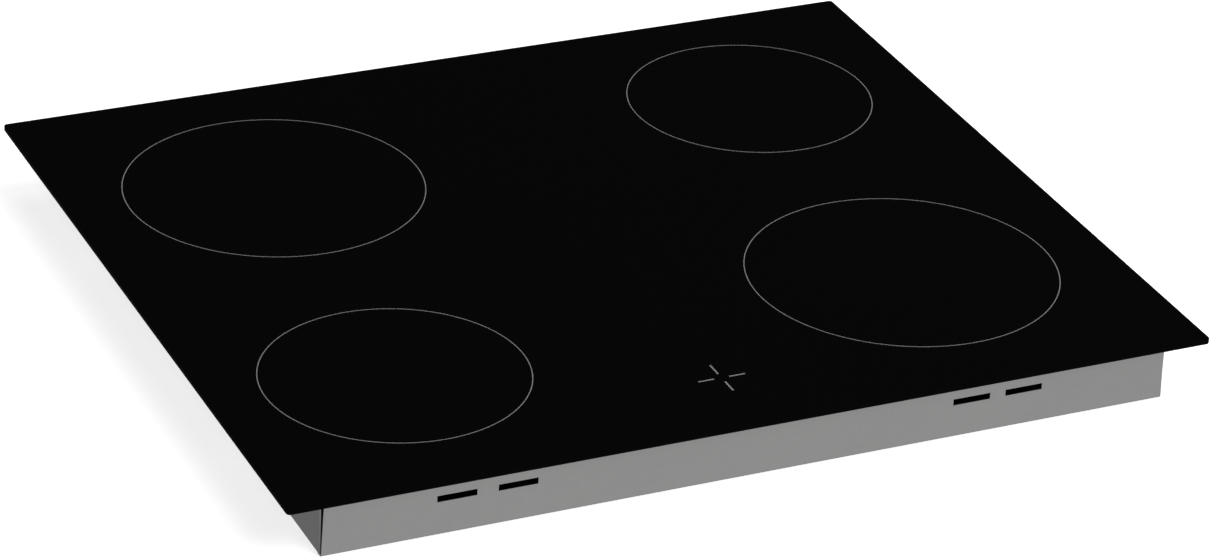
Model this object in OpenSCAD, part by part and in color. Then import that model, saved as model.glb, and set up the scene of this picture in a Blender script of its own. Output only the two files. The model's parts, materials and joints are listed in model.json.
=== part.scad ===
// Built-in induction cooktop: black glass plate over a folded steel tray.
// The origin is under the middle of the glass, at the height of the tray's underside.
// +X is to the cook's right, +Y to the wall behind, +Z up.

/* [Glass] */
// Width of the glass plate
glass_w = 590; // [584:1:600]
// Depth of the glass plate, front to back
glass_d = 511; // [508:1:520]
// Thickness of the glass plate
glass_t = 4; // [4:0.5:6]
// Radius of the plate's corners
glass_corner_r = 2.5; // [1:0.5:6]

/* [Printed marks] */
// Width of a printed ring's line
ring_line_w = 0.6; // [0.4:0.1:2]
// Width of the cross's arms
cross_line_w = 1.1; // [0.6:0.1:2]
// Length of the arms of the cross that point to the front and rear
cross_arm = 11; // [6:0.5:14]
// Length of the arms of the cross that point to the sides
cross_side_arm = 10.2; // [6:0.1:14]
// Free space from the middle of the cross to each arm
cross_gap = 4.9; // [3:0.1:7]

/* [Tray] */
// Height from the tray's underside to the top of the glass
overall_h = 41.5; // [41.5:0.5:60]
// Width of the tray
tray_w = 542; // [538:1:546]
// Depth of the tray
tray_d = 486; // [486:1:488]
// How far the glass stands out past the front wall
front_overhang = 10; // [9:0.5:11]
// Length of an air slot in the front wall
slot_w = 24.5; // [10:0.5:30]
// Height of an air slot in the front wall
slot_h = 4.1; // [3:0.1:6]

/* [Inductors] */
// How far an inductor can be pressed down on its springs
float_travel = 2.5; // [1:0.1:2.5]
// Number of ferrite bars under each winding
ferrite_count = 8; // [8:8:8]

/* [Blowers] */
// Number of blades on an impeller
blade_count = 28; // [16:1:36]

/* [Hidden] */
$fn = 64;
eps = 0.01;

// Heights
glass_z = overall_h - glass_t;      // underside of the glass
sheet_t = 0.8;                      // tray and frame sheet
wall_top = glass_z - 1;             // top edge of the tray's walls
print_depth = 0.1;

// Zones: name, centre x, centre y, ring diameter
zones = [
    ["rear_left", -163.0, 116.7, 189.3],
    ["rear_right", 175.2, 134.9, 160.7],
    ["front_left", -181.6, -132.3, 160.4],
    ["front_right", 158.7, -115.6, 193.4]
];
cross_at = [-3.4, -200.4];

// Tray outline
front_y = -glass_d / 2 + front_overhang;
rear_y = front_y + tray_d;
side_x = tray_w / 2;
bend_r = 1.4;                       // of the sheet's middle
corner_gap = 0.5;                   // front and rear walls stop this far short of the side faces
side_setback = 1.7;                 // side walls start this far behind the front face
flap_taper = 1.4;                   // front and rear walls narrow by this at each top corner
side_taper = 0.3;                   // side walls narrow by this at each top corner
slot_z = overall_h - 17.65;
slot_x = [-188.6, -151.0, 139.8, 174.6];

// Side walls carry the spring clips and the screws into the glass frame
clip_y = 130;
clip_w = 22;
clip_base_w = 44;
clip_t = 0.6;
clip_screw_dy = 16;
clip_screw_z = 17;
frame_screw_z = 31;
frame_screw_y = [-190, 0, 190];
frame_screw_x = [-200, 200];
screw_r = 1.9;
screw_hole_r = 2.1;
screw_head_r = 3.6;
screw_head_h = 1.8;

// Glass frame, bead and seal
frame_gap = 0.2;                    // between the frame's legs and the tray's walls
frame_flange = 13;
frame_leg_z = 26.5;                 // lower edge of the legs
frame_corner_cut = 16;              // legs stop this far from the corners
bead_t = 0.8;
bead_w = 8;
seal_inset = 3;
seal_w = 5;
seal_t = 1.5;

// Coil plates
plate_z = 22.5;                     // underside
plate_t = 1;
plate_top = plate_z + plate_t;
plate_x0 = 62;
plate_x1 = 266;
plate_y0 = -226;
plate_y1 = 222;
leg_y = [-205, 0, 205];
leg_w = 30;
foot_l = 12;
foot_screw_r = 1.4;
foot_hole_r = 1.55;

// Inductor stack, from the bottom up
former_z = plate_top + 3.9;
channel_base = 1.2;
ferrite_w = 11;
ferrite_h = 4;
winding_z = former_z + channel_base + ferrite_h + 0.2;
winding_h = 3.2;
winding_in_r = 24;
turn_pitch = 3.2;
insulator_z = winding_z + winding_h;
insulator_t = glass_z - 0.3 - insulator_z;
spring_spokes = [0, 3, 5];
guide_spokes = [2, 6];
spring_low_r = 5.9;
spring_high_r = 3.4;
spring_wire = 0.7;
guide_r = 2;
guide_l = 5.6;
function winding_r(zone) = zone[3] / 2 - 7;
function post_r(zone) = 0.6 * winding_r(zone);

// Power electronics: the right-hand set is the left-hand one mirrored and moved
duct_left_x = -170;
duct_right_x = 157.2;
right_shift = duct_right_x + duct_left_x;
board_t = 1.6;
board_z = 5;
board_top = board_z + board_t;
board_w = 170;
board_d = 250;
board_at = [-165, -65];
spacer_inset = 8;
sink_w = 80;
sink_l = 140;
sink_fin_w = 46;
sink_base_t = 3;
sink_z = board_top;
sink_top = 18.5;
sink_at = [duct_left_x, -25];
fin_count = 12;
fin_t = 1.2;
package_y = [-65, -25, 15];
package_dx = 31.5;
package_size = [15.6, 20.6, 5];
filter_size = [108, 104];
filter_at = [0, 114];

// Blowers: an outlet beside the impeller blows forward through the heat sink
blower_y = 130;
outlet_in = 8;
outlet_out = 44;
outlet_l = 60;
scroll_r0 = 32;
scroll_r1 = outlet_out;
housing_wall = 1.6;
housing_z = 0.9;
housing_top = 18.8;
inlet_r = 22;
impeller_r = 28;
blade_in_r = 20.5;
impeller_z = 3.5;
impeller_top = 16.2;
cup_r = 13;
blower_x = duct_left_x - (outlet_in + outlet_out) / 2;
lug_at = [[-36, 36], [36, 36]];

// Terminal compartment at the rear
cover_x = 41.5;
cover_y0 = 184.6;
cover_y1 = 232.6;
cover_z = 0.2;
cover_t = 2;
hatch_x = 42;
hatch_y0 = 184;
hatch_y1 = 233;
pivot = [187, 2.4];                 // y, z of the cover's hinge line
pivot_r = 1.4;
box_x = 46;
box_y0 = 180;
box_wall = 1.8;
box_top = 30;
gland_z = 15;
gland_r = 6.5;
gland_cut = [32, 17];
clamp_y = 218;
clamp_d = 10;
clamp_x = 18;
clamp_screw_x = 13.5;

// Touch board under the cross
touch_size = [64, 44];
touch_z = 28.8;
holder_size = [72, 52];
holder_wall = 1.6;
holder_z = 26;
guide_dx = 8;
light_r = 2.4;

// ---------- shared shapes ----------

module rounded_rect(w, d, r) {
    square([w - 2 * r, d], center = true);
    square([w, d - 2 * r], center = true);
    for (x = [-1, 1], y = [-1, 1])
        translate([x * (w / 2 - r), y * (d / 2 - r)]) circle(r);
}

// A rectangular frame seen from above, given by its outer corners
module rect_ring(x0, y0, x1, y1, w) {
    difference() {
        translate([x0, y0]) square([x1 - x0, y1 - y0]);
        translate([x0 + w, y0 + w]) square([x1 - x0 - 2 * w, y1 - y0 - 2 * w]);
    }
}

module ring(outer, inner, h) {
    difference() {
        cylinder(r = outer, h = h);
        translate([0, 0, -1]) cylinder(r = inner, h = h + 2);
    }
}

// Points of an arc
function arc(c, r, a0, a1, n = 6) =
    [for (i = [0:n]) c + r * [cos(a0 + (a1 - a0) * i / n), sin(a0 + (a1 - a0) * i / n)]];

function unit(v) = v / norm(v);
function left_of(v) = [-v[1], v[0]];
// Outward direction at point i of a path, lengthened so that the strip keeps its thickness
function side_at(p, i) =
    i == 0 ? left_of(unit(p[1] - p[0])) :
    i == len(p) - 1 ? left_of(unit(p[i] - p[i - 1])) :
    let (a = unit(p[i] - p[i - 1]), b = unit(p[i + 1] - p[i]), m = unit(a + b))
    left_of(m) / (m * a);
// Outline of sheet metal of thickness t whose middle follows path p
function strip(p, t) = concat(
    [for (i = [0:len(p) - 1]) p[i] + side_at(p, i) * t / 2],
    [for (i = [len(p) - 1:-1:0]) p[i] - side_at(p, i) * t / 2]
);

// Pan-head screw with its head's underside at z = 0 and its shank going down
module screw(head_r, head_h, shank_r, shank_l) {
    cylinder(r = head_r, h = head_h);
    translate([0, 0, -shank_l]) cylinder(r = shank_r, h = shank_l + eps);
}

module at_zone(i) {
    translate([zones[i][1], zones[i][2], 0]) children();
}

module both_sides() {
    children();
    translate([right_shift, 0, 0]) mirror([1, 0, 0]) children();
}

// ---------- glass and what is bonded to it ----------

module print_shapes() {
    for (zone = zones)
        translate([zone[1], zone[2], 0])
            ring((zone[3] + ring_line_w) / 2, (zone[3] - ring_line_w) / 2, print_depth + eps);
    for (a = [0:90:270])
        translate([cross_at[0], cross_at[1], 0]) rotate([0, 0, a])
            translate([cross_gap, -cross_line_w / 2, 0])
                cube([a % 180 == 0 ? cross_side_arm : cross_arm, cross_line_w, print_depth + eps]);
}

module glass_plate() {
    color([0.02, 0.02, 0.02])
    difference() {
        translate([0, 0, glass_z]) linear_extrude(glass_t)
            rounded_rect(glass_w, glass_d, glass_corner_r);
        translate([0, 0, overall_h - print_depth]) print_shapes();
    }
}

// Enamel print, let into the glass so that the top stays flat
module zone_print() {
    color([0.45, 0.45, 0.45])
    intersection() {
        translate([0, 0, overall_h - print_depth]) print_shapes();
        translate([-glass_w / 2, -glass_d / 2, overall_h - print_depth])
            cube([glass_w, glass_d, print_depth]);
    }
}

frame_x = side_x - sheet_t - frame_gap;
frame_y0 = front_y + sheet_t + frame_gap;
frame_y1 = rear_y - sheet_t - frame_gap;
frame_top = glass_z - bead_t;

module glass_adhesive() {
    color([0.15, 0.15, 0.15])
    translate([0, 0, frame_top]) linear_extrude(bead_t)
        rect_ring(-frame_x + 3, frame_y0 + 3, frame_x - 3, frame_y1 - 3, bead_w);
}

module worktop_seal() {
    x = glass_w / 2 - seal_inset;
    y = glass_d / 2 - seal_inset;
    color([0.1, 0.1, 0.1])
    translate([0, 0, glass_z - seal_t]) linear_extrude(seal_t) rect_ring(-x, -y, x, y, seal_w);
}

module wall_screw_holes(r) {
    for (s = [-1, 1], y = frame_screw_y)
        translate([s * side_x, y, frame_screw_z]) rotate([0, 90, 0])
            cylinder(r = r, h = 12, center = true);
    for (x = frame_screw_x)
        translate([x, rear_y, frame_screw_z]) rotate([90, 0, 0])
            cylinder(r = r, h = 12, center = true);
}

module clip_screw_holes(r) {
    for (s = [-1, 1], y = [-clip_y, clip_y], d = [-clip_screw_dy, clip_screw_dy])
        translate([s * side_x, y + d, clip_screw_z]) rotate([0, 90, 0])
            cylinder(r = r, h = 12, center = true);
}

// Steel frame bonded under the glass, with legs that stand inside the tray's walls
module glass_frame() {
    leg_h = frame_top - frame_leg_z;
    cut = frame_corner_cut;
    color([0.6, 0.6, 0.62])
    difference() {
        union() {
            translate([0, 0, frame_top - sheet_t]) linear_extrude(sheet_t)
                rect_ring(-frame_x, frame_y0, frame_x, frame_y1, frame_flange);
            for (s = [-1, 1])
                translate([s * (frame_x - sheet_t / 2), (frame_y0 + frame_y1) / 2, frame_leg_z + leg_h / 2])
                    cube([sheet_t, frame_y1 - frame_y0 - 2 * cut, leg_h], center = true);
            for (y = [frame_y0 + sheet_t / 2, frame_y1 - sheet_t / 2])
                translate([0, y, frame_leg_z + leg_h / 2])
                    cube([2 * (frame_x - cut), sheet_t, leg_h], center = true);
        }
        wall_screw_holes(screw_hole_r);
    }
}

// ---------- tray ----------

// One wall with its bend and a lip of floor. The path starts on the floor and ends at the wall's top.
function wall_path(out) = concat(
    [[out - bend_r - sheet_t / 2 - 4, sheet_t / 2]],
    arc([out - bend_r - sheet_t / 2, bend_r + sheet_t / 2], bend_r, -90, 0),
    [[out - sheet_t / 2, wall_top]]
);

module wall(out, length) {
    rotate([90, 0, 0]) linear_extrude(length, center = true) polygon(strip(wall_path(out), sheet_t));
}

// Outline, half_w wide each way at the bottom, that narrows a wall towards its top
module wall_taper(half_w, taper) {
    rotate([90, 0, 0]) linear_extrude(2 * glass_d, center = true) polygon([
        [-half_w, 0], [half_w, 0], [half_w - taper, wall_top], [-half_w + taper, wall_top]
    ]);
}

// Straight intake slots that fill a circle
module intake_slots(r, slot = 4, pitch = 7.5) {
    for (i = [-2:2]) {
        half = sqrt(r * r - pow(i * pitch, 2)) - slot / 2;
        translate([0, i * pitch, 0]) cube([2 * half, slot, 10], center = true);
    }
}

module foot_holes(r) {
    for (s = [-1, 1], y = leg_y, x = [plate_x0 + foot_l / 2 + 1, plate_x1 - foot_l / 2 - 1])
        translate([s * x, y, 0]) cylinder(r = r, h = 10, center = true);
}

module lug_holes(r) {
    both_sides() translate([blower_x, blower_y, 0])
        for (p = lug_at) translate([p[0], p[1], 0]) cylinder(r = r, h = 10, center = true);
}

box_screw_x = 51;
box_screw_y = 205;
module box_holes(r) {
    for (s = [-1, 1]) translate([s * box_screw_x, box_screw_y, 0]) cylinder(r = r, h = 10, center = true);
}

holder_leg = 8;
module holder_holes(r) {
    for (x = [-1, 1], y = [-1, 1])
        translate([cross_at[0] + x * (holder_size[0] - holder_leg) / 2,
                   cross_at[1] + y * (holder_size[1] - holder_leg) / 2, 0])
            cylinder(r = r, h = 10, center = true);
}

module tray() {
    mid_y = (front_y + rear_y) / 2;
    inset = bend_r + sheet_t / 2;
    bead_y = [-140:40:20];
    color([0.56, 0.56, 0.56])
    difference() {
        union() {
            translate([-side_x + inset, front_y + inset, 0])
                cube([tray_w - 2 * inset, tray_d - 2 * inset, sheet_t]);
            intersection() {
                union() {
                    translate([0, mid_y, 0]) rotate([0, 0, 90]) wall(tray_d / 2, tray_w);
                    translate([0, mid_y, 0]) rotate([0, 0, -90]) wall(tray_d / 2, tray_w);
                }
                wall_taper(side_x - corner_gap, flap_taper);
            }
            intersection() {
                for (a = [0, 180]) translate([0, mid_y, 0]) rotate([0, 0, a]) wall(side_x, tray_d);
                translate([0, mid_y, 0]) rotate([0, 0, 90]) wall_taper(tray_d / 2 - side_setback, side_taper);
            }
            for (y = bead_y) translate([-50, y, sheet_t - eps]) cube([100, 7, 0.4 + eps]);
        }
        for (y = bead_y) translate([-49, y + 1, -1]) cube([98, 5, 1.4]);
        for (x = slot_x) translate([x, front_y, slot_z]) cube([slot_w, 6, slot_h], center = true);
        both_sides() translate([blower_x, blower_y, 0]) intake_slots(inlet_r);
        translate([-hatch_x, hatch_y0, -1]) cube([2 * hatch_x, hatch_y1 - hatch_y0, 3]);
        translate([0, rear_y, gland_z]) cube([gland_cut[0], 6, gland_cut[1]], center = true);
        wall_screw_holes(screw_hole_r);
        clip_screw_holes(screw_hole_r);
        foot_holes(foot_hole_r);
        lug_holes(foot_hole_r);
        box_holes(foot_hole_r);
        holder_holes(foot_hole_r);
    }
}

module wall_screws() {
    shank = 4;
    color([0.7, 0.7, 0.72]) {
        for (s = [-1, 1], y = frame_screw_y)
            translate([s * (side_x + eps), y, frame_screw_z]) rotate([0, s * 90, 0])
                screw(screw_head_r, screw_head_h, screw_r, shank);
        for (x = frame_screw_x)
            translate([x, rear_y + eps, frame_screw_z]) rotate([-90, 0, 0])
                screw(screw_head_r, screw_head_h, screw_r, shank);
        for (s = [-1, 1], y = [-clip_y, clip_y], d = [-clip_screw_dy, clip_screw_dy])
            translate([s * (side_x + clip_t + 2 * eps), y + d, clip_screw_z]) rotate([0, s * 90, 0])
                screw(screw_head_r, screw_head_h, screw_r, shank);
    }
}

// Leaf spring that bows out from the wall and grips the worktop's cut-out
clip_leaf = concat(
    [[clip_t / 2, 9], [clip_t / 2, 33]],
    arc([clip_t / 2 + 1.1, 33], 1.1, 180, 35),
    [[7.6, 22.6], [8.2, 20.6], [7.6, 18.8], [3.4, 11.6]]
);

module clip(side, y) {
    color([0.75, 0.75, 0.77])
    translate([side * side_x, y, 0]) scale_side(side)
        difference() {
            union() {
                rotate([90, 0, 0]) linear_extrude(clip_w, center = true) polygon(strip(clip_leaf, clip_t));
                translate([0, -clip_base_w / 2, 9]) cube([clip_t, clip_base_w, 16]);
            }
            for (d = [-clip_screw_dy, clip_screw_dy])
                translate([0, d, clip_screw_z]) rotate([0, 90, 0])
                    cylinder(r = screw_hole_r, h = 6, center = true);
        }
}

// Mirrors a right-hand shape for the left-hand side
module scale_side(side) {
    if (side < 0) mirror([1, 0, 0]) children();
    else children();
}

// ---------- coil plates and inductors ----------

// Places children on the spokes of an inductor
module on_spokes(spokes, r) {
    for (k = spokes) rotate([0, 0, k * 360 / ferrite_count]) translate([r, 0, 0]) children();
}

// Aluminium plate on folded legs; side is -1 for the left one, and ids names its two zones
module coil_plate(side, ids) {
    color([0.8, 0.8, 0.82])
    difference() {
        scale_side(side) {
            translate([plate_x0, plate_y0, plate_z])
                cube([plate_x1 - plate_x0, plate_y1 - plate_y0, plate_t]);
            for (y = leg_y) {
                translate([plate_x0, y - leg_w / 2, sheet_t]) {
                    cube([plate_t, leg_w, plate_z - sheet_t + eps]);
                    cube([foot_l, leg_w, plate_t]);
                }
                translate([plate_x1, y - leg_w / 2, sheet_t]) mirror([1, 0, 0]) {
                    cube([plate_t, leg_w, plate_z - sheet_t + eps]);
                    cube([foot_l, leg_w, plate_t]);
                }
            }
        }
        foot_holes(foot_hole_r);
        for (i = ids) at_zone(i) {
            translate([0, 0, plate_z]) cylinder(r = 7, h = 10, center = true);
            on_spokes(guide_spokes, post_r(zones[i]))
                translate([0, 0, plate_z]) cylinder(r = guide_r + 0.3, h = 10, center = true);
            on_spokes([1.5], winding_r(zones[i]) - 6)
                translate([0, 0, plate_z]) cylinder(r = 4, h = 10, center = true);
        }
    }
}

// Plastic spider: hub, rim and one channel for each ferrite bar
module former(i) {
    r = winding_r(zones[i]);
    rim = r + 1.2;
    channel_wall = 1.3;
    channel_w = ferrite_w + 0.4 + 2 * channel_wall;
    wall_h = channel_base + ferrite_h;
    color([0.2, 0.2, 0.22])
    at_zone(i) {
        translate([0, 0, former_z]) {
            ring(12, 7.2, insulator_z - former_z);
            ring(rim + 1.8, rim, 6.5);
            on_spokes([0:ferrite_count - 1], 0) {
                translate([11, -channel_w / 2, 0]) cube([rim - 10.5, channel_w, channel_base]);
                translate([11, -4.5, channel_base / 2]) cube([10, 9, wall_h - channel_base / 2]);
                for (s = [-1, 1]) translate([20, s * (channel_w - channel_wall) / 2 - channel_wall / 2, channel_base / 2])
                    cube([rim - 19.4, channel_wall, wall_h - channel_base / 2]);
            }
            on_spokes(spring_spokes, post_r(zones[i]))
                translate([0, 0, -1.2]) cylinder(r = 2.6, h = 1.2 + eps);
            on_spokes(guide_spokes, post_r(zones[i]))
                translate([0, 0, -guide_l]) cylinder(r = guide_r, h = guide_l + eps);
        }
    }
}

module ferrites(i) {
    r = winding_r(zones[i]);
    color([0.25, 0.25, 0.27])
    at_zone(i) on_spokes([0:ferrite_count - 1], 22)
        translate([0, -ferrite_w / 2, former_z + channel_base]) cube([r - 26, ferrite_w, ferrite_h]);
}

// Flat winding: one ridge for each turn of the wire
module winding(i) {
    r = winding_r(zones[i]);
    turns = floor((r - winding_in_r) / turn_pitch);
    pitch = (r - winding_in_r) / turns;
    groove = 0.7;
    ridge = [for (k = [0:turns - 1], p = [[0, groove], [0.5, 0], [1, groove]])
        [winding_in_r + (k + p[0]) * pitch, winding_h - p[1]]];
    color([0.7, 0.4, 0.22])
    at_zone(i) translate([0, 0, winding_z]) rotate_extrude($fn = 96)
        polygon(concat([[winding_in_r, 0]], [for (k = [0:len(ridge) - 1]) if (k % 3 != 2 || k == len(ridge) - 1) ridge[k]], [[r, 0]]));
}

module insulator(i) {
    color([0.85, 0.8, 0.7])
    at_zone(i) translate([0, 0, insulator_z]) ring(winding_r(zones[i]) + 0.8, 9, insulator_t);
}

// Temperature sensor in a cap that touches the glass through the middle of the winding
module sensor(i) {
    color([0.85, 0.85, 0.8])
    at_zone(i) {
        translate([0, 0, former_z - 1.2]) cylinder(r = 9, h = 1.2);
        translate([0, 0, former_z - eps]) cylinder(r = 6.8, h = glass_z - 0.5 - former_z);
        for (x = [-2, 2])
            translate([x, 0, former_z - 6]) cylinder(r = 0.7, h = 6);
    }
}

// Conical compression spring, whose turns nest as it closes: one ring of points for each step along the wire
function coil_ring(a, z, mean, wire, n) =
    [for (k = [0:n - 1]) let (b = 360 * k / n)
        [(mean + wire * cos(b)) * cos(a), (mean + wire * cos(b)) * sin(a), z + wire * sin(b)]];

module conical_spring(low_r, high_r, wire, h, turns, steps = 14, n = 6) {
    count = turns * steps;
    points = [for (i = [0:count])
        each coil_ring(360 * i / steps, wire + (h - 2 * wire) * i / count, low_r + (high_r - low_r) * i / count, wire, n)];
    sides = [for (i = [0:count - 1], k = [0:n - 1])
        [i * n + k, i * n + (k + 1) % n, (i + 1) * n + (k + 1) % n, (i + 1) * n + k]];
    polyhedron(points, concat(sides, [[for (k = [n - 1:-1:0]) k], [for (k = [0:n - 1]) count * n + k]]));
}

module springs(i) {
    color([0.7, 0.7, 0.72])
    at_zone(i) on_spokes(spring_spokes, post_r(zones[i]))
        translate([0, 0, plate_top + 0.03])
            conical_spring(spring_low_r, spring_high_r, spring_wire / 2, former_z - plate_top - 0.06, 3);
}

// ---------- electronics ----------

module spacer_spots() {
    w = board_w / 2 - spacer_inset;
    d = board_d / 2 - spacer_inset;
    both_sides() translate([board_at[0], board_at[1], 0])
        for (x = [-w, w], y = [-d, 0, d]) translate([x, y, 0]) children();
    for (x = [-1, 1], y = [-1, 1])
        translate([filter_at[0] + x * (filter_size[0] / 2 - spacer_inset),
                   filter_at[1] + y * (filter_size[1] / 2 - spacer_inset), 0]) children();
}

module board_spacers() {
    color([0.9, 0.9, 0.88])
    spacer_spots() {
        translate([0, 0, sheet_t]) cylinder(r = 3, h = board_z - sheet_t);
        translate([0, 0, board_z - eps]) cylinder(r = 1.5, h = board_t + 1.4);
    }
}

module power_board() {
    color([0.1, 0.35, 0.2])
    difference() {
        translate([board_at[0] - board_w / 2, board_at[1] - board_d / 2, board_z])
            cube([board_w, board_d, board_t]);
        spacer_spots() cylinder(r = 1.6, h = 20);
    }
}

module power_board_left() {
    power_board();
}

module power_board_right() {
    color([0.1, 0.35, 0.2])
    difference() {
        translate([right_shift - board_at[0] - board_w / 2, board_at[1] - board_d / 2, board_z])
            cube([board_w, board_d, board_t]);
        spacer_spots() cylinder(r = 1.6, h = 20);
    }
}

module heat_sink(x) {
    pitch = (sink_fin_w - fin_t) / (fin_count - 1);
    color([0.75, 0.75, 0.77])
    translate([x, sink_at[1] - sink_l / 2, sink_z]) {
        translate([-sink_w / 2, 0, 0]) cube([sink_w, sink_l, sink_base_t]);
        for (i = [0:fin_count - 1])
            translate([-sink_fin_w / 2 + i * pitch, 0, sink_base_t - eps])
                cube([fin_t, sink_l, sink_top - sink_z - sink_base_t + eps]);
    }
}

module power_transistors() {
    leads = [-5.4, 0, 5.4];
    color([0.12, 0.12, 0.12])
    for (x = [duct_left_x, duct_right_x], s = [-1, 1], y = package_y)
        translate([x + s * package_dx, sink_at[1] + 25 + y, sink_z + sink_base_t]) {
            translate([-package_size[0] / 2, -package_size[1] / 2, 0]) cube(package_size);
            for (d = leads) {
                translate([s * (package_size[0] / 2 - eps), d - 0.6, 1.2])
                    scale_side(s) cube([6, 1.2, 0.6]);
                translate([s * (package_size[0] / 2 + 5.4), d - 0.6, board_top - sink_z - sink_base_t])
                    scale_side(s) cube([0.6, 1.2, sink_z + sink_base_t - board_top + 1.8]);
            }
        }
}

module box_part(x, y, w, d, h) {
    translate([x - w / 2, y - d / 2, board_top]) cube([w, d, h]);
}

module film_capacitors() {
    color([0.85, 0.6, 0.2]) {
        both_sides() {
            for (y = [-85, -50, -15, 20]) box_part(-103, y, 28, 18, 11.5);
            for (y = [-60, -20]) box_part(-229, y, 20, 31, 11.5);
        }
        for (y = [84, 108]) box_part(-28, y, 32, 16, 21);
        box_part(30, 146, 26, 14, 17);
    }
}

module toroid(x, y, z, outer, inner, h) {
    translate([x, y, z]) rotate_extrude() translate([inner, 0]) difference() {
        square([outer - inner, h]);
        square([1, 1]);
        translate([outer - inner - 1, 0]) square([1, 1]);
        translate([0, h - 1]) square([1, 1]);
        translate([outer - inner - 1, h - 1]) square([1, 1]);
    }
}

module chokes() {
    color([0.65, 0.38, 0.2]) {
        both_sides() {
            toroid(-224, -135, board_top, 15, 6, 11.5);
            toroid(-110, -135, board_top, 15, 6, 11.5);
        }
        toroid(26, 100, board_top, 20, 8, 18);
    }
}

module filter_board() {
    color([0.1, 0.35, 0.2])
    difference() {
        translate([filter_at[0] - filter_size[0] / 2, filter_at[1] - filter_size[1] / 2, board_z])
            cube([filter_size[0], filter_size[1], board_t]);
        spacer_spots() cylinder(r = 1.6, h = 20);
    }
}

// ---------- blowers ----------

// Outline of the scroll and its outlet, grown outwards by g
function scroll(g, length) =
    let (a0 = acos((outlet_in - g) / (scroll_r0 + g)), n = 30)
    concat(
        [for (i = [0:n]) let (a = -a0 - (360 - a0) * i / n, r = scroll_r0 + g + (scroll_r1 - scroll_r0) * i / n)
            r * [cos(a), sin(a)]],
        [[scroll_r1 + g, -length], [outlet_in - g, -length]]
    );

module blower_housing() {
    color([0.08, 0.08, 0.09])
    translate([blower_x, blower_y, 0])
    difference() {
        union() {
            translate([0, 0, housing_z]) linear_extrude(housing_top - housing_z)
                polygon(scroll(housing_wall, outlet_l));
            for (p = lug_at) {
                translate([p[0], p[1], housing_z]) cylinder(r = 5, h = 2.5);
                rotate([0, 0, atan2(p[1], p[0])]) translate([34, -3.5, housing_z])
                    cube([norm(p) - 34, 7, 2.5]);
            }
        }
        translate([0, 0, housing_z + housing_wall])
            linear_extrude(housing_top - housing_z - 2 * housing_wall) polygon(scroll(0, outlet_l + 1));
        translate([0, 0, housing_z - 1]) cylinder(r = inlet_r, h = 4);
        for (p = lug_at) translate([p[0], p[1], 0]) {
            cylinder(r = foot_hole_r, h = 10, center = true);
        }
    }
}

// Blades between a top disc and a bottom ring, around a cup that covers the motor
module impeller() {
    lap = 0.3;
    color([0.1, 0.1, 0.11])
    translate([blower_x, blower_y, 0]) {
        rotate_extrude() polygon([
            [0, 5], [cup_r, 5], [cup_r, impeller_top - 1.2], [impeller_r, impeller_top - 1.2],
            [impeller_r, impeller_top], [cup_r - 1.2, impeller_top], [cup_r - 1.2, 6.2],
            [1.5, 6.2], [1.5, 16], [0, 16]
        ]);
        translate([0, 0, impeller_z]) ring(impeller_r, impeller_r - 2, 1);
        for (i = [0:blade_count - 1]) rotate([0, 0, 360 * i / blade_count])
            translate([blade_in_r, 0, impeller_z + lap]) rotate([0, 0, -25])
                cube([impeller_r - blade_in_r - 0.4, 0.9, impeller_top - impeller_z - 2 * lap]);
    }
}

module blower_motors() {
    color([0.55, 0.35, 0.2])
    both_sides() translate([blower_x, blower_y, 7]) difference() {
        union() {
            cylinder(r = 10.5, h = 8);
            cylinder(r = 5, h = housing_top - housing_wall - 7);
        }
        translate([0, 0, -1]) cylinder(r = 1.56, h = 30);
    }
}

// ---------- terminal compartment ----------

module terminal_box() {
    inner_x = box_x - box_wall;
    box_y1 = frame_y1 - sheet_t - 0.3;
    color([0.85, 0.85, 0.83])
    difference() {
        union() {
            difference() {
                translate([-box_x, box_y0, sheet_t]) cube([2 * box_x, box_y1 - box_y0, box_top - sheet_t]);
                translate([-inner_x, box_y0 + box_wall, -1])
                    cube([2 * inner_x, box_y1 - box_y0, box_top - box_wall + 1]);
            }
            for (s = [-1, 1]) translate([s * box_screw_x, box_screw_y, sheet_t]) {
                cylinder(r = 5, h = 1.8);
                translate([-s * 4, 0, 0.9]) cube([8, 10, 1.8], center = true);
            }
            for (s = [-1, 1]) translate([s * 44.2, pivot[0], 4])
                cube([3.6, 8, 6.4], center = true);
            translate([-clamp_x, clamp_y, gland_z + 0.5])
                cube([2 * clamp_x, clamp_d, box_top - gland_z - 1]);
        }
        translate([0, pivot[0], pivot[1]]) rotate([0, 90, 0])
            cylinder(r = pivot_r + 0.08, h = 90.6, center = true);
        translate([0, clamp_y - 1, gland_z]) rotate([-90, 0, 0]) cylinder(r = gland_r, h = clamp_d + 2);
        for (s = [-1, 1]) translate([s * clamp_screw_x, clamp_y + clamp_d / 2, 0])
            cylinder(r = foot_hole_r, h = 22);
        box_holes(foot_hole_r);
    }
}

module terminal_block() {
    poles = [-22:11:22];
    h = 12;
    color([0.92, 0.92, 0.9])
    difference() {
        translate([-29, 191, box_top - box_wall - h]) cube([58, 21, h - eps]);
        for (x = poles) {
            translate([x, 200, box_top - box_wall - h / 2]) rotate([-90, 0, 0]) cylinder(r = 2.4, h = 20);
            translate([x, 205, box_top - box_wall - h - 1]) cylinder(r = 2.8, h = 5);
        }
    }
}

// Snap cover that swings down about two pins at its front edge
module terminal_cover() {
    color([0.85, 0.85, 0.83])
    union() {
        translate([-cover_x, cover_y0, cover_z]) cube([2 * cover_x, cover_y1 - cover_y0, cover_t]);
        for (s = [-1, 1]) scale_side(s) {
            translate([39, pivot[0], pivot[1]]) rotate([0, 90, 0]) cylinder(r = pivot_r, h = 6);
            translate([38.5, pivot[0] - 1.4, cover_z + cover_t - eps]) cube([1.6, 6, 1.6]);
        }
    }
}

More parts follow.
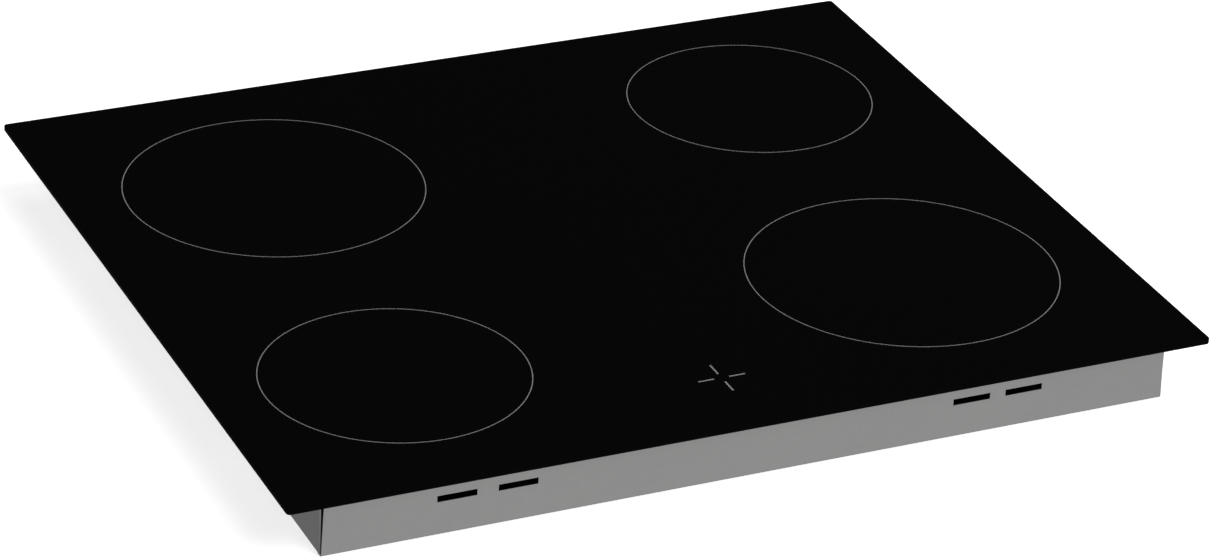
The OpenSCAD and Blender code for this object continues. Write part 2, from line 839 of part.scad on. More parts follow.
module cable_gland() {
    depth = 8.5;
    collar = 6;
    flange = 2;
    color([0.06, 0.06, 0.06])
    difference() {
        union() {
            translate([0, rear_y + flange / 2 + eps, gland_z]) cube([40, flange, 23], center = true);
            translate([0, rear_y - depth / 2 + 2 * eps, gland_z])
                cube([gland_cut[0] - 0.4, depth, gland_cut[1] - 0.4], center = true);
            translate([0, rear_y + flange, gland_z]) rotate([-90, 0, 0]) cylinder(r = gland_r + 2.2, h = collar);
        }
        translate([0, rear_y - 20, gland_z]) rotate([-90, 0, 0]) cylinder(r = gland_r, h = 40);
    }
}

module cord_clamp() {
    color([0.85, 0.85, 0.83])
    difference() {
        union() {
            translate([-clamp_x, clamp_y + 1, gland_z - 2.7]) cube([2 * clamp_x, clamp_d - 2, 3]);
            translate([0, clamp_y + 1, gland_z]) rotate([-90, 0, 0]) cylinder(r = gland_r + 2.5, h = clamp_d - 2);
        }
        translate([0, clamp_y, gland_z]) rotate([-90, 0, 0]) cylinder(r = gland_r, h = clamp_d + 2);
        translate([-20, clamp_y, gland_z + 0.3]) cube([40, clamp_d, 20]);
        for (s = [-1, 1]) translate([s * clamp_screw_x, clamp_y + clamp_d / 2, 0])
            cylinder(r = foot_hole_r, h = 22);
    }
}

// ---------- touch board ----------

module touch_board() {
    color([0.1, 0.3, 0.2])
    translate([cross_at[0], cross_at[1], touch_z]) {
        translate([-touch_size[0] / 2, -touch_size[1] / 2, 0]) cube([touch_size[0], touch_size[1], board_t]);
        for (x = [-1, 1], y = [-1, 1])
            translate([x * guide_dx - 2, y * guide_dx - 2, board_t - eps]) cube([4, 4, 1]);
    }
}

module touch_board_holder() {
    h = glass_z - 0.3 - holder_z;
    inner = [holder_size[0] - 2 * holder_wall, holder_size[1] - 2 * holder_wall];
    color([0.12, 0.12, 0.13])
    difference() {
        translate([cross_at[0], cross_at[1], 0]) {
            translate([0, 0, holder_z]) linear_extrude(h) difference() {
                square(holder_size, center = true);
                square(inner, center = true);
            }
            translate([0, 0, holder_z]) linear_extrude(touch_z - holder_z) difference() {
                square(holder_size, center = true);
                square([touch_size[0] - 6, touch_size[1] - 6], center = true);
            }
            for (x = [-1, 1], y = [-1, 1])
                translate([x * (holder_size[0] - holder_leg) / 2, y * (holder_size[1] - holder_leg) / 2,
                           sheet_t + (holder_z - sheet_t) / 2 + 0.05])
                    cube([holder_leg, holder_leg, holder_z - sheet_t + 0.1], center = true);
        }
        holder_holes(foot_screw_r);
    }
}

// One clear moulding: four guides and four feet on a web
module light_guides() {
    foot_dx = 12.5;
    web_z = touch_z + board_t + 3;
    color([0.9, 0.9, 0.95])
    translate([cross_at[0], cross_at[1], 0]) {
        translate([-14.5, -14.5, web_z]) cube([29, 29, 1.2]);
        for (x = [-1, 1], y = [-1, 1]) {
            translate([x * guide_dx, y * guide_dx, touch_z + board_t + 1.1])
                cylinder(r = light_r, h = glass_z - 0.3 - touch_z - board_t - 1.1);
            translate([x * foot_dx, y * foot_dx, touch_z + board_t])
                cylinder(r = 1.5, h = web_z + 0.5 - touch_z - board_t);
        }
    }
}

// Small screws inside the tray: feet, blower lugs, terminal box and cord clamp
module inner_screws() {
    color([0.7, 0.7, 0.72]) {
        for (s = [-1, 1], y = leg_y, x = [plate_x0 + foot_l / 2 + 1, plate_x1 - foot_l / 2 - 1])
            translate([s * x, y, sheet_t + plate_t + eps]) screw(2.6, 1.8, foot_screw_r, 1.6);
        both_sides() translate([blower_x, blower_y, housing_z + 2.5 + eps])
            for (p = lug_at) translate([p[0], p[1], 0]) screw(2.6, 1.8, foot_screw_r, 3);
        for (s = [-1, 1]) {
            translate([s * box_screw_x, box_screw_y, sheet_t + 1.8 + eps]) screw(2.6, 1.8, foot_screw_r, 2.4);
            translate([s * clamp_screw_x, clamp_y + clamp_d / 2, gland_z - 2.7 - eps]) rotate([180, 0, 0])
                screw(2.6, 1.8, foot_screw_r, 9);
        }
    }
}

// ---------- assembly ----------

glass_plate();
zone_print();
glass_adhesive();
worktop_seal();
glass_frame();
tray();
wall_screws();
inner_screws();
clip(-1, -clip_y);  // clip_front_left
clip(1, -clip_y);  // clip_front_right
clip(-1, clip_y);  // clip_rear_left
clip(1, clip_y);  // clip_rear_right
coil_plate(-1, [0, 2]);  // coil_plate_left
coil_plate(1, [1, 3]);  // coil_plate_right
for (i = [0:len(zones) - 1]) {
    former(i);
    ferrites(i);
    winding(i);
    insulator(i);
    sensor(i);
    springs(i);
}
power_board_left();
power_board_right();
heat_sink(duct_left_x);  // heat_sink_left
heat_sink(duct_right_x);  // heat_sink_right
power_transistors();
film_capacitors();
chokes();
board_spacers();
blower_housing();  // blower_housing_left
translate([right_shift, 0, 0]) mirror([1, 0, 0]) blower_housing();  // blower_housing_right
impeller();  // impeller_left
translate([right_shift, 0, 0]) mirror([1, 0, 0]) impeller();  // impeller_right
blower_motors();
filter_board();
terminal_box();
terminal_block();
terminal_cover();
cable_gland();
cord_clamp();
touch_board();
touch_board_holder();
light_guides();
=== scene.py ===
import json
import math
from collections import namedtuple

import bmesh
import bpy
from mathutils import Euler, Matrix, Vector


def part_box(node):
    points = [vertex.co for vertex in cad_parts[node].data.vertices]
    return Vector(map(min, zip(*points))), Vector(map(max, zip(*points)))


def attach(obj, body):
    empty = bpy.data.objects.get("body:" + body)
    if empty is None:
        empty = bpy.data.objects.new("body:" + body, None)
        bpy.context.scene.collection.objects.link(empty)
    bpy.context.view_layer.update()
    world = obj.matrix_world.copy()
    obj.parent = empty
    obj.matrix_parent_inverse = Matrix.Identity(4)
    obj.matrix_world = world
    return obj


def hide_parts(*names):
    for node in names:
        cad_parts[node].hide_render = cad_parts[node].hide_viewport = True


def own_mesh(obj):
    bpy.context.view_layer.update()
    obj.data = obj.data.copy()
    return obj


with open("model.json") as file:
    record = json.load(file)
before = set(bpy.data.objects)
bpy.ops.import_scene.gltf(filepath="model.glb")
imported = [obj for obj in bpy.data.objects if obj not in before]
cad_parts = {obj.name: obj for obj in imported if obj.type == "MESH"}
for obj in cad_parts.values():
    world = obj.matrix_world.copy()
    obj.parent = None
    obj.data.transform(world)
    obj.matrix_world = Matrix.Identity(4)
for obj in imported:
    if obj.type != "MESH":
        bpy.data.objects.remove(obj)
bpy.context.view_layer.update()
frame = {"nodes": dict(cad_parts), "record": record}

ROOT = "appliance"
ZONES = ("rear_left", "rear_right", "front_left", "front_right")
CORNERS = ("front_left", "front_right", "rear_left", "rear_right")
MM = 0.001


# ---------- node and colour helpers ----------

def srgb(hex_code):
    """A hex colour as linear RGBA."""
    parts = [int(hex_code[i:i + 2], 16) / 255 for i in (1, 3, 5)]
    return tuple(p / 12.92 if p <= 0.04045 else ((p + 0.055) / 1.055) ** 2.4 for p in parts) + (1.0,)


def add(tree, kind, inputs=None, **settings):
    """One node, with its settings, and each input set to a value or linked to a socket."""
    made = tree.nodes.new(kind)
    for name, value in settings.items():
        setattr(made, name, value)
    for name, value in (inputs or {}).items():
        if isinstance(value, bpy.types.NodeSocket):
            tree.links.new(value, made.inputs[name])
        else:
            made.inputs[name].default_value = value
    return made


def new_finish(name, **constants):
    """A material with a Principled shader whose constants sit on its own sockets."""
    material = bpy.data.materials.new(name)
    material.use_nodes = True
    tree = material.node_tree
    tree.nodes.clear()
    shader = add(tree, "ShaderNodeBsdfPrincipled", {k.replace("_", " "): v for k, v in constants.items()})
    add(tree, "ShaderNodeOutputMaterial", {"Surface": shader.outputs[0]})
    return material, tree, shader


def own_place(tree, cell_mm, stretch=(1, 1, 1)):
    """The piece's own coordinates, scaled so that one unit of pattern is cell_mm long."""
    place = add(tree, "ShaderNodeTexCoord")
    size = [s / (cell_mm * MM) for s in stretch]
    return add(tree, "ShaderNodeMapping", {"Vector": place.outputs["Object"], "Scale": size}).outputs[0]


def vary(tree, shader, colour, rough):
    """Colour and roughness that each follow a pattern, given with its two ends and the value at each."""
    pattern, ends, shades = colour
    tone = add(tree, "ShaderNodeValToRGB", {"Fac": pattern})
    for number in (0, 1):
        tone.color_ramp.elements[number].position = ends[number]
        tone.color_ramp.elements[number].color = srgb(shades[number])
    tree.links.new(tone.outputs["Color"], shader.inputs["Base Color"])
    pattern, ends, values = rough
    spread = add(tree, "ShaderNodeMapRange", {"Value": pattern, "From Min": ends[0], "From Max": ends[1],
                                              "To Min": values[0], "To Max": values[1]})
    tree.links.new(spread.outputs["Result"], shader.inputs["Roughness"])


def grained(name, light, dark, cell_mm, rough, bump_mm=0.0, stretch=(1, 1, 1), **constants):
    """A finish whose colour, roughness and height follow one grain, drawn as coarse as it needs to show."""
    material, tree, shader = new_finish(name, **constants)
    grain = add(tree, "ShaderNodeTexNoise", {"Vector": own_place(tree, cell_mm, stretch), "Scale": 1.0,
                                             "Detail": 4.0, "Roughness": 0.6}).outputs["Fac"]
    vary(tree, shader, (grain, (0.3, 0.7), (dark, light)), (grain, (0.25, 0.75), rough))
    if bump_mm:
        bump = add(tree, "ShaderNodeBump", {"Height": grain, "Distance": bump_mm * MM, "Strength": 1.0})
        tree.links.new(bump.outputs["Normal"], shader.inputs["Normal"])
    return material


# ---------- finishes ----------

def glass_ceramic():
    """Rolled black glass-ceramic: deep black, mirror-smooth, with a faint haze that breaks up highlights."""
    material, tree, shader = new_finish("black_glass_ceramic", IOR=1.53)
    haze = add(tree, "ShaderNodeTexNoise", {"Vector": own_place(tree, 90), "Scale": 1.0, "Detail": 5.0})
    speck = add(tree, "ShaderNodeTexNoise", {"Vector": own_place(tree, 0.8), "Scale": 1.0, "Detail": 2.0})
    vary(tree, shader, (speck.outputs["Fac"], (0.35, 0.75), ("#050505", "#0b0b0b")),
         (haze.outputs["Fac"], (0.3, 0.7), (0.045, 0.075)))
    return material


def ground_edge():
    """Pencil-ground edge, sealed black: the same glass, frosted by grinding, so it returns little light."""
    return grained("ground_black_glass_edge", "#050505", "#020202", 0.4, (0.6, 0.75), 0.01, IOR=1.53,
                   Specular_IOR_Level=0.02)


def zinc_coated_steel():
    """Hot-dip galvanised sheet, skin-passed: even satin grey, faint crystal patches, rolling lines."""
    material, tree, shader = new_finish("zinc_coated_sheet_steel", Metallic=1.0)
    crystals = add(tree, "ShaderNodeTexVoronoi", {"Vector": own_place(tree, 5.0), "Scale": 1.0})
    lines = add(tree, "ShaderNodeTexNoise", {"Vector": own_place(tree, 0.7, (0.03, 0.03, 1.0)), "Scale": 1.0,
                                             "Detail": 3.0}).outputs["Fac"]
    cloud = add(tree, "ShaderNodeTexNoise", {"Vector": own_place(tree, 60), "Scale": 1.0, "Detail": 3.0})
    patch = add(tree, "ShaderNodeSeparateColor", {"Color": crystals.outputs["Color"]})
    blend = add(tree, "ShaderNodeMath", {0: patch.outputs[0], 1: 0.12}, operation="MULTIPLY")
    for pattern, share in ((lines, 0.4), (cloud.outputs["Fac"], 0.48)):
        blend = add(tree, "ShaderNodeMath", {0: pattern, 1: share, 2: blend.outputs[0]},
                    operation="MULTIPLY_ADD")
    blend = blend.outputs[0]
    vary(tree, shader, (blend, (0.25, 0.75), ("#a0a0a0", "#a9a9a8")), (blend, (0.2, 0.8), (0.42, 0.52)))
    bump = add(tree, "ShaderNodeBump", {"Height": lines, "Distance": 0.004 * MM, "Strength": 0.6})
    tree.links.new(bump.outputs["Normal"], shader.inputs["Normal"])
    return material


def circuit_laminate():
    """Etched laminate under green solder mask: tracks stand a hair proud, in a paler green."""
    material, tree, shader = new_finish("solder_masked_laminate", IOR=1.5, Roughness=0.32)
    tracks = add(tree, "ShaderNodeTexBrick", {
        "Vector": own_place(tree, 4.0), "Scale": 1.0, "Mortar Size": 0.06,
        "Color1": srgb("#0e4a2c"), "Color2": srgb("#12532f"), "Mortar": srgb("#2c7a4a")})
    bump = add(tree, "ShaderNodeBump", {
        "Height": tracks.outputs["Fac"], "Distance": 0.035 * MM, "Strength": 1.0})
    tree.links.new(tracks.outputs["Color"], shader.inputs["Base Color"])
    tree.links.new(bump.outputs["Normal"], shader.inputs["Normal"])
    return material


def clear_acrylic():
    """Clear acrylic, moulded: transparent with polished faces."""
    return new_finish("moulded_clear_acrylic", Base_Color=srgb("#eef2f5"), Roughness=0.06, IOR=1.49,
                      Transmission_Weight=1.0)[0]


def finishes():
    """Every finish by the record's slot name."""
    return {
        "black_glass_ceramic": glass_ceramic(),
        # Ceramic ink fired into the glass: pale grey, matt, with the slight mottle of a screen print.
        "enamel_print": grained("fired_ceramic_ink", "#989898", "#8a8a8a", 0.6, (0.5, 0.7)),
        # Cast silicone: black, with a soft wet sheen.
        "silicone": grained("cast_black_silicone", "#171717", "#101010", 3.0, (0.45, 0.6), 0.02),
        # Closed-cell foam: black, dull, with fine open pores.
        "foam_seal": grained("closed_cell_foam", "#1c1c1c", "#0c0c0c", 0.9, (0.85, 0.95), 0.15),
        "galvanised_steel": zinc_coated_steel(),
        # Rolled spring strip: brighter and smoother than the tray, with lines along the roll.
        "spring_steel": grained("rolled_spring_steel", "#c3c4c5", "#a9aaac", 0.5, (0.22, 0.34), 0.002,
                                (1, 0.05, 1), Metallic=1.0),
        # Zinc-plated steel: bright, slightly blue, with a fine plating grain.
        "zinc_plated_screw": grained("zinc_plated_steel", "#cfd2d6", "#b4b8bd", 0.4, (0.22, 0.36), 0.002,
                                     Metallic=1.0),
        # Rolled aluminium plate: pale, satin, with long rolling lines.
        "aluminium_sheet": grained("rolled_aluminium_sheet", "#d9dadb", "#c6c7c9", 0.6, (0.3, 0.42), 0.003,
                                   (0.04, 1, 1), Metallic=1.0),
        # Extruded aluminium: pale, with die lines along each fin.
        "extruded_aluminium": grained("extruded_aluminium", "#d2d3d5", "#bcbdc0", 0.5, (0.28, 0.4), 0.004,
                                      (1, 0.03, 1), Metallic=1.0),
        # Glass-filled nylon, moulded black: satin, with a spark-eroded texture.
        "black_nylon": grained("moulded_black_nylon", "#1d1d1f", "#161617", 0.6, (0.45, 0.6), 0.012),
        # Natural nylon, moulded: milky grey-white, satin, with a spark-eroded texture.
        "white_nylon": grained("moulded_grey_white_nylon", "#cfcfca", "#c3c3bd", 0.6, (0.42, 0.55), 0.012),
        # Sintered ferrite: near black, matt, like fired clay.
        "ferrite": grained("sintered_ferrite", "#3a3a3d", "#2a2a2c", 0.5, (0.6, 0.8), 0.02),
        # Enamelled copper: warm brown-orange under a clear glossy coat.
        "enamelled_copper": grained("enamelled_copper_wire", "#bd6c34", "#9c5426", 0.8, (0.28, 0.42), 0.01,
                                    Metallic=1.0, Coat_Weight=0.6, Coat_Roughness=0.15),
        # Pressed mica: straw-coloured flakes with a pearly sheen.
        "mica": grained("pressed_mica", "#c9bda0", "#a4977a", 2.0, (0.35, 0.6), 0.02),
        # Sintered alumina: off-white, dense and satin.
        "sensor_cap": grained("sintered_alumina", "#ddd9ce", "#cfcbc0", 0.5, (0.35, 0.45), 0.006),
        "circuit_board": circuit_laminate(),
        # Moulded epoxy: charcoal, matt, with a fine sand-like face.
        "epoxy_package": grained("moulded_epoxy", "#232323", "#191919", 0.25, (0.6, 0.75), 0.008),
        # Moulded polyester case: ochre, semi-gloss.
        "capacitor_case": grained("moulded_polyester_case", "#c98a2a", "#b97c22", 0.8, (0.3, 0.42), 0.008),
        "clear_acrylic": clear_acrylic(),
    }


FINISH = finishes()


# ---------- mesh helpers ----------

def as_mesh(name, bm, slot=None):
    """A bmesh made a mesh, in one finish where a slot is given."""
    mesh = bpy.data.meshes.new(name)
    bm.to_mesh(mesh)
    bm.free()
    if slot:
        mesh.materials.append(FINISH[slot])
    return mesh


def piece(name, shape, slot, body=ROOT, nodes=(), smooth=None):
    """A finished piece at the origin, with its material, its body and the CAD nodes that it stands for."""
    mesh = as_mesh(name, shape) if isinstance(shape, bmesh.types.BMesh) else shape
    made = bpy.data.objects.new(name, mesh)
    bpy.context.scene.collection.objects.link(made)
    if not mesh.materials:
        mesh.materials.append(FINISH[slot])
    if smooth is not None:
        mesh.shade_smooth()
        mesh.set_sharp_from_angle(angle=math.radians(smooth))
    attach(made, body)
    if nodes:
        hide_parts(*nodes)
    return made


def with_modifier(mesh, kind, sockets=None, **settings):
    """The mesh as one modifier leaves it."""
    holder = bpy.data.objects.new(mesh.name, mesh)
    bpy.context.scene.collection.objects.link(holder)
    modifier = holder.modifiers.new("finish", kind)
    for name, value in settings.items():
        setattr(modifier, name, value)
    for identifier, value in (sockets or {}).items():
        modifier[identifier] = value
    bpy.context.view_layer.update()
    made = bpy.data.meshes.new_from_object(holder.evaluated_get(bpy.context.evaluated_depsgraph_get()))
    holder.modifiers.remove(modifier)
    bpy.data.objects.remove(holder)
    return made


def joined(name, *meshes):
    """Several meshes as one, each with its own finish kept."""
    bm = bmesh.new()
    materials = []
    for mesh in meshes:
        start = len(bm.faces)
        bm.from_mesh(mesh)
        bm.faces.ensure_lookup_table()
        for face in bm.faces[start:]:
            material = mesh.materials[face.material_index]
            if material not in materials:
                materials.append(material)
            face.material_index = materials.index(material)
    result = as_mesh(name, bm)
    for material in materials:
        result.materials.append(material)
    return result


def rounded_outline(half_w, half_d, radius):
    """Points round a rectangle with rounded corners, anticlockwise."""
    steps = 10
    points = []
    for corner, (sx, sy) in enumerate(((1, 1), (-1, 1), (-1, -1), (1, -1))):
        for i in range(steps + 1):
            a = math.radians(90 * corner + 90 * i / steps)
            points.append((sx * (half_w - radius) + radius * math.cos(a),
                           sy * (half_d - radius) + radius * math.sin(a)))
    return points


def lofted(rings, loop=False):
    """A closed solid through rings of equally many points: capped at both ends, or joined up into a loop."""
    bm = bmesh.new()
    rows = [[bm.verts.new(p) for p in ring] for ring in rings]
    n = len(rows[0])
    for low, high in zip(rows, rows[1:] + rows[:1] if loop else rows[1:]):
        for i in range(n):
            bm.faces.new((low[i], low[(i + 1) % n], high[(i + 1) % n], high[i]))
    if not loop:
        bm.faces.new(list(reversed(rows[0])))
        bm.faces.new(rows[-1])
    bmesh.ops.recalc_face_normals(bm, faces=bm.faces)
    return bm


def turned(profile, steps=32, loop=False):
    """A closed solid turned from points (radius, z), which start and end on the axis or form a loop."""
    bm = bmesh.new()
    rows = []
    for r, z in profile:
        spin = [2 * math.pi * i / steps for i in range(steps if r else 1)]
        rows.append([bm.verts.new((r * math.cos(a), r * math.sin(a), z)) for a in spin])
    for low, high in zip(rows, rows[1:] + rows[:1] if loop else rows[1:]):
        for i in range(steps):
            j = (i + 1) % steps
            corners = [low[i % len(low)], low[j % len(low)], high[j % len(high)], high[i % len(high)]]
            bm.faces.new(list(dict.fromkeys(corners)))
    bmesh.ops.recalc_face_normals(bm, faces=bm.faces)
    return bm


def middle(node):
    """The middle of a CAD node's box."""
    low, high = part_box(node)
    return (Vector(low) + Vector(high)) / 2


# ---------- geometry-node helpers ----------

def sized_tree(name, **sizes):
    """An empty tree with one named input for each size; returns it with its group inputs."""
    tree = bpy.data.node_groups.new(name, "GeometryNodeTree")
    tree.interface.new_socket("Spots", in_out="INPUT", socket_type="NodeSocketGeometry")
    for label, kind in sizes.items():
        tree.interface.new_socket(label, in_out="INPUT", socket_type="NodeSocket" + kind)
    tree.interface.new_socket("Made", in_out="OUTPUT", socket_type="NodeSocketGeometry")
    return tree, tree.nodes.new("NodeGroupInput").outputs


def end_tree(tree, geometry, slot, spots=None, marked=None):
    """Ends a tree in real faces with one finish, and another on faces marked by an attribute of its name."""
    if spots:
        placed = add(tree, "GeometryNodeInstanceOnPoints", {"Points": spots, "Instance": geometry})
        geometry = placed.outputs[0]
    real = add(tree, "GeometryNodeRealizeInstances", {"Geometry": geometry})
    painted = add(tree, "GeometryNodeSetMaterial", {"Geometry": real.outputs[0], "Material": FINISH[slot]})
    if marked:
        mark = add(tree, "GeometryNodeInputNamedAttribute", {"Name": marked}, data_type="BOOLEAN")
        painted = add(tree, "GeometryNodeSetMaterial", {
            "Geometry": painted.outputs[0], "Material": FINISH[marked],
            "Selection": mark.outputs["Attribute"]})
    add(tree, "NodeGroupOutput", {"Made": painted.outputs[0]})
    return tree


def grown(tree, spots, aims=None, faces=(), **sizes):
    """Runs a tree on points, each with a direction, or on faces, and returns the plain mesh that it makes."""
    mesh = bpy.data.meshes.new(tree.name)
    mesh.from_pydata(spots, [], faces)
    aim = mesh.attributes.new("aim", "FLOAT_VECTOR", "POINT")
    for place, direction in zip(aim.data, aims or [(0, 0, 1)] * len(spots)):
        place.vector = direction
    sockets = {item.identifier: sizes[item.name] for item in tree.interface.items_tree if item.name in sizes}
    return with_modifier(mesh, "NODES", sockets, node_group=tree)


# ---------- glass ----------

def make_glass():
    """The plate, with a pencil-ground edge: small round-overs above and below a flat side."""
    low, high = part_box("glass_plate")
    # The plate's face lies a hair low, so that the ink stands proud of it.
    sunk, over, corner = 0.03 * MM, 0.7 * MM, 2.5 * MM
    top, bottom = high[2] - sunk, low[2]
    land = over + 0.1 * MM
    arc = [math.radians(a) for a in range(0, 91, 15)]
    profile = [(land, bottom)]
    profile += [(over * (1 - math.sin(a)), bottom + over * (1 - math.cos(a))) for a in arc]
    profile += [(over * (1 - math.cos(a)), top - over * (1 - math.sin(a))) for a in arc]
    profile += [(land, top)]
    rings = []
    for inset, z in profile:
        outline = rounded_outline(high[0] - inset, high[1] - inset, corner - inset * 0.8)
        rings.append([(x, y, z) for x, y in outline])
    plate = piece("glass_plate_ground", lofted(rings), "black_glass_ceramic", nodes=("glass_plate",),
                  smooth=35)
    plate.data.materials.append(ground_edge())
    for face in plate.data.polygons:
        face.material_index = 0 if len(face.vertices) > 4 else 1


def make_marks():
    """The four rings and the cross, as a thin layer of ink on the glass."""
    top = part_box("zone_print")[1][2]
    bottom = top - 0.06 * MM
    half_line, ring_room, steps = 0.28 * MM, 7 * MM, 256
    bm = bmesh.new()
    for zone in ZONES:
        low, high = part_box("winding_" + zone)
        centre = middle("winding_" + zone)
        radius = (high[0] - low[0]) / 2 + ring_room
        inner, outer = radius - half_line, radius + half_line
        ring = []
        for i in range(steps):
            a = 2 * math.pi * i / steps
            section = ((inner, bottom), (outer, bottom), (outer, top), (inner, top))
            ring.append([bm.verts.new((centre.x + r * math.cos(a), centre.y + r * math.sin(a), z))
                         for r, z in section])
        for here, there in zip(ring, ring[1:] + ring[:1]):
            for k in range(4):
                bm.faces.new((here[k], here[(k + 1) % 4], there[(k + 1) % 4], there[k]))
    bmesh.ops.recalc_face_normals(bm, faces=bm.faces)
    # The cross: four bars that leave its middle free, the side ones a little shorter.
    cross = Matrix.Translation((-3.4 * MM, -200.4 * MM, (top + bottom) / 2))
    gap, bar_width = 4.9 * MM, 1.1 * MM
    for quarter in range(4):
        arm = (10.2 if quarter % 2 == 0 else 11.0) * MM
        bar = bmesh.ops.create_cube(bm, size=1)["verts"]
        shape = cross @ Matrix.Rotation(math.pi / 2 * quarter, 4, "Z") \
            @ Matrix.Translation((gap + arm / 2, 0, 0)) @ Matrix.Diagonal((arm, bar_width, top - bottom, 1))
        bmesh.ops.transform(bm, matrix=shape, verts=bar)
    piece("zone_marks", bm, "enamel_print", nodes=("zone_print",))


# ---------- screws ----------

def screw_tree():
    """A turned blank, cut with a cross recess and set on every spot along its aim."""
    tree, sizes = sized_tree("cross_recess_screw", Blank="Object", Top="Float", Span="Float", Slot="Float",
                             Depth="Float")
    blank = add(tree, "GeometryNodeObjectInfo", {"Object": sizes["Blank"]})
    deep = add(tree, "ShaderNodeMath", {0: sizes["Depth"], 1: 2.0}, operation="MULTIPLY").outputs[0]
    centre = add(tree, "ShaderNodeCombineXYZ", {"Z": sizes["Top"]}).outputs[0]
    cuts = add(tree, "GeometryNodeJoinGeometry")
    for x, y in ((sizes["Span"], sizes["Slot"]), (sizes["Slot"], sizes["Span"])):
        size = add(tree, "ShaderNodeCombineXYZ", {"X": x, "Y": y, "Z": deep})
        bar = add(tree, "GeometryNodeMeshCube", {"Size": size.outputs[0]})
        bar = add(tree, "GeometryNodeTransform", {"Geometry": bar.outputs["Mesh"], "Translation": centre})
        tree.links.new(bar.outputs[0], cuts.inputs[0])
    cut = add(tree, "GeometryNodeMeshBoolean", {
        "Mesh 1": blank.outputs["Geometry"], "Mesh 2": cuts.outputs[0], "Self Intersection": True},
        operation="DIFFERENCE", solver="EXACT")
    aim = add(tree, "GeometryNodeInputNamedAttribute", {"Name": "aim"}, data_type="FLOAT_VECTOR")
    turn = add(tree, "FunctionNodeAlignRotationToVector", {"Vector": aim.outputs["Attribute"]}, axis="Z")
    screws = add(tree, "GeometryNodeInstanceOnPoints", {
        "Points": sizes["Spots"], "Instance": cut.outputs["Mesh"], "Rotation": turn.outputs[0]})
    return end_tree(tree, screws.outputs[0], "zinc_plated_screw")


def screw_blank(screw):
    """A pan head over a threaded shank with a short point."""
    head_r, head_h, shank_r, length = screw[:4]
    thread, pitch, edge = 0.78 * shank_r, 0.5 * shank_r, 0.15
    profile = [(0, -length), (0.45 * shank_r, -length + 0.1)]
    for i in range(int((length - 0.6 * shank_r) / pitch)):
        z = -length + (i + 1) * pitch
        profile += [(thread, z), (shank_r, z + 0.5 * pitch)]
    rim, rise = 0.4 * head_h, 0.6 * head_h
    profile += [(thread, -0.02), (head_r - edge, 0), (head_r, edge), (head_r, rim)]
    profile += [(head_r * math.cos(a) ** 0.55, rim + rise * math.sin(a)) for a in (0.3, 0.6, 0.9, 1.2, 1.42)]
    profile += [(0, head_h)]
    bm = turned([(r * MM, z * MM) for r, z in profile], 28)
    return bpy.data.objects.new("screw_blank", as_mesh("screw_blank", bm, "zinc_plated_screw"))


# Sizes in millimetres: the head, the shank, and the span, width and depth of the cross.
Screw = namedtuple("Screw", "head_r head_h shank_r length span slot depth")
WALL_SCREW = Screw(3.6, 1.8, 1.9, 4, 3.6, 0.85, 1.0)
CLAMP_SCREW = Screw(2.3, 1.5, 1.3, 5, 2.6, 0.6, 0.7)
SMALL_SCREW = Screw(2.6, 1.8, 1.4, 1.6, 2.7, 0.65, 0.9)


def set_screws(name, tree, screw, spots, aims, nodes=()):
    """A piece that holds one screw of a size on every spot, along its aim."""
    made = grown(tree, spots, aims, Blank=screw_blank(screw), Top=screw.head_h * MM, Span=screw.span * MM,
                 Slot=screw.slot * MM, Depth=screw.depth * MM)
    piece(name, made, "zinc_plated_screw", nodes=nodes, smooth=35)


def make_screws():
    """The screws through the tray's walls, the clamp screws of the terminals, and the small ones inside."""
    tree = screw_tree()
    up, down, to_rear = (0, 0, 1), (0, 0, -1), (0, 1, 0)

    side, rear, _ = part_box("tray")[1]
    wall_z, clip_z, clip_face = 31 * MM, 17 * MM, 0.62 * MM
    spots, aims = [], []
    for s in (-1, 1):
        spots += [(s * side, y * MM, wall_z) for y in (-190, 0, 190)]
        spots += [(s * (side + clip_face), y * MM, clip_z) for y in (-146, -114, 114, 146)]
        spots.append((s * 200 * MM, rear, wall_z))
        aims += [(s, 0, 0)] * 7 + [to_rear]
    set_screws("tray_wall_screws", tree, WALL_SCREW, spots, aims, ("wall_screws",))

    seat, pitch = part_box("terminal_block")[0][2] + 2.2 * MM, 11 * MM
    spots = [(pole * pitch, 205 * MM, seat) for pole in range(-2, 3)]
    set_screws("terminal_clamp_screws", tree, CLAMP_SCREW, spots, [down] * len(spots))

    # The face under each head: the plates' feet, the terminal box's ears, the cord clamp, the blowers' lugs.
    foot_z, ear_z, clamp_z, lug_z = 1.81 * MM, 2.61 * MM, 12.29 * MM, 3.41 * MM
    spots, aims = [], []
    for s, hand in ((-1, "left"), (1, "right")):
        spots += [(s * x * MM, y * MM, foot_z) for y in (-205, 0, 205) for x in (69, 259)]
        spots += [(s * 51 * MM, 205 * MM, ear_z), (s * 13.5 * MM, 223 * MM, clamp_z)]
        motor = middle("impeller_" + hand)
        spots += [(motor.x + x * MM, motor.y + 36 * MM, lug_z) for x in (-36, 36)]
        aims += [up] * 7 + [down] + [up] * 2
    set_screws("small_pan_head_screws", tree, SMALL_SCREW, spots, aims, ("inner_screws",))


# ---------- spring clips ----------

def eased(points, rounds=3):
    """A path whose corners are cut again and again until they are round; its ends stay."""
    for _ in range(rounds):
        cut = [points[0]]
        for a, b in zip(points, points[1:]):
            cut += [a.lerp(b, 0.25), a.lerp(b, 0.75)]
        points = cut + [points[-1]]
    return points


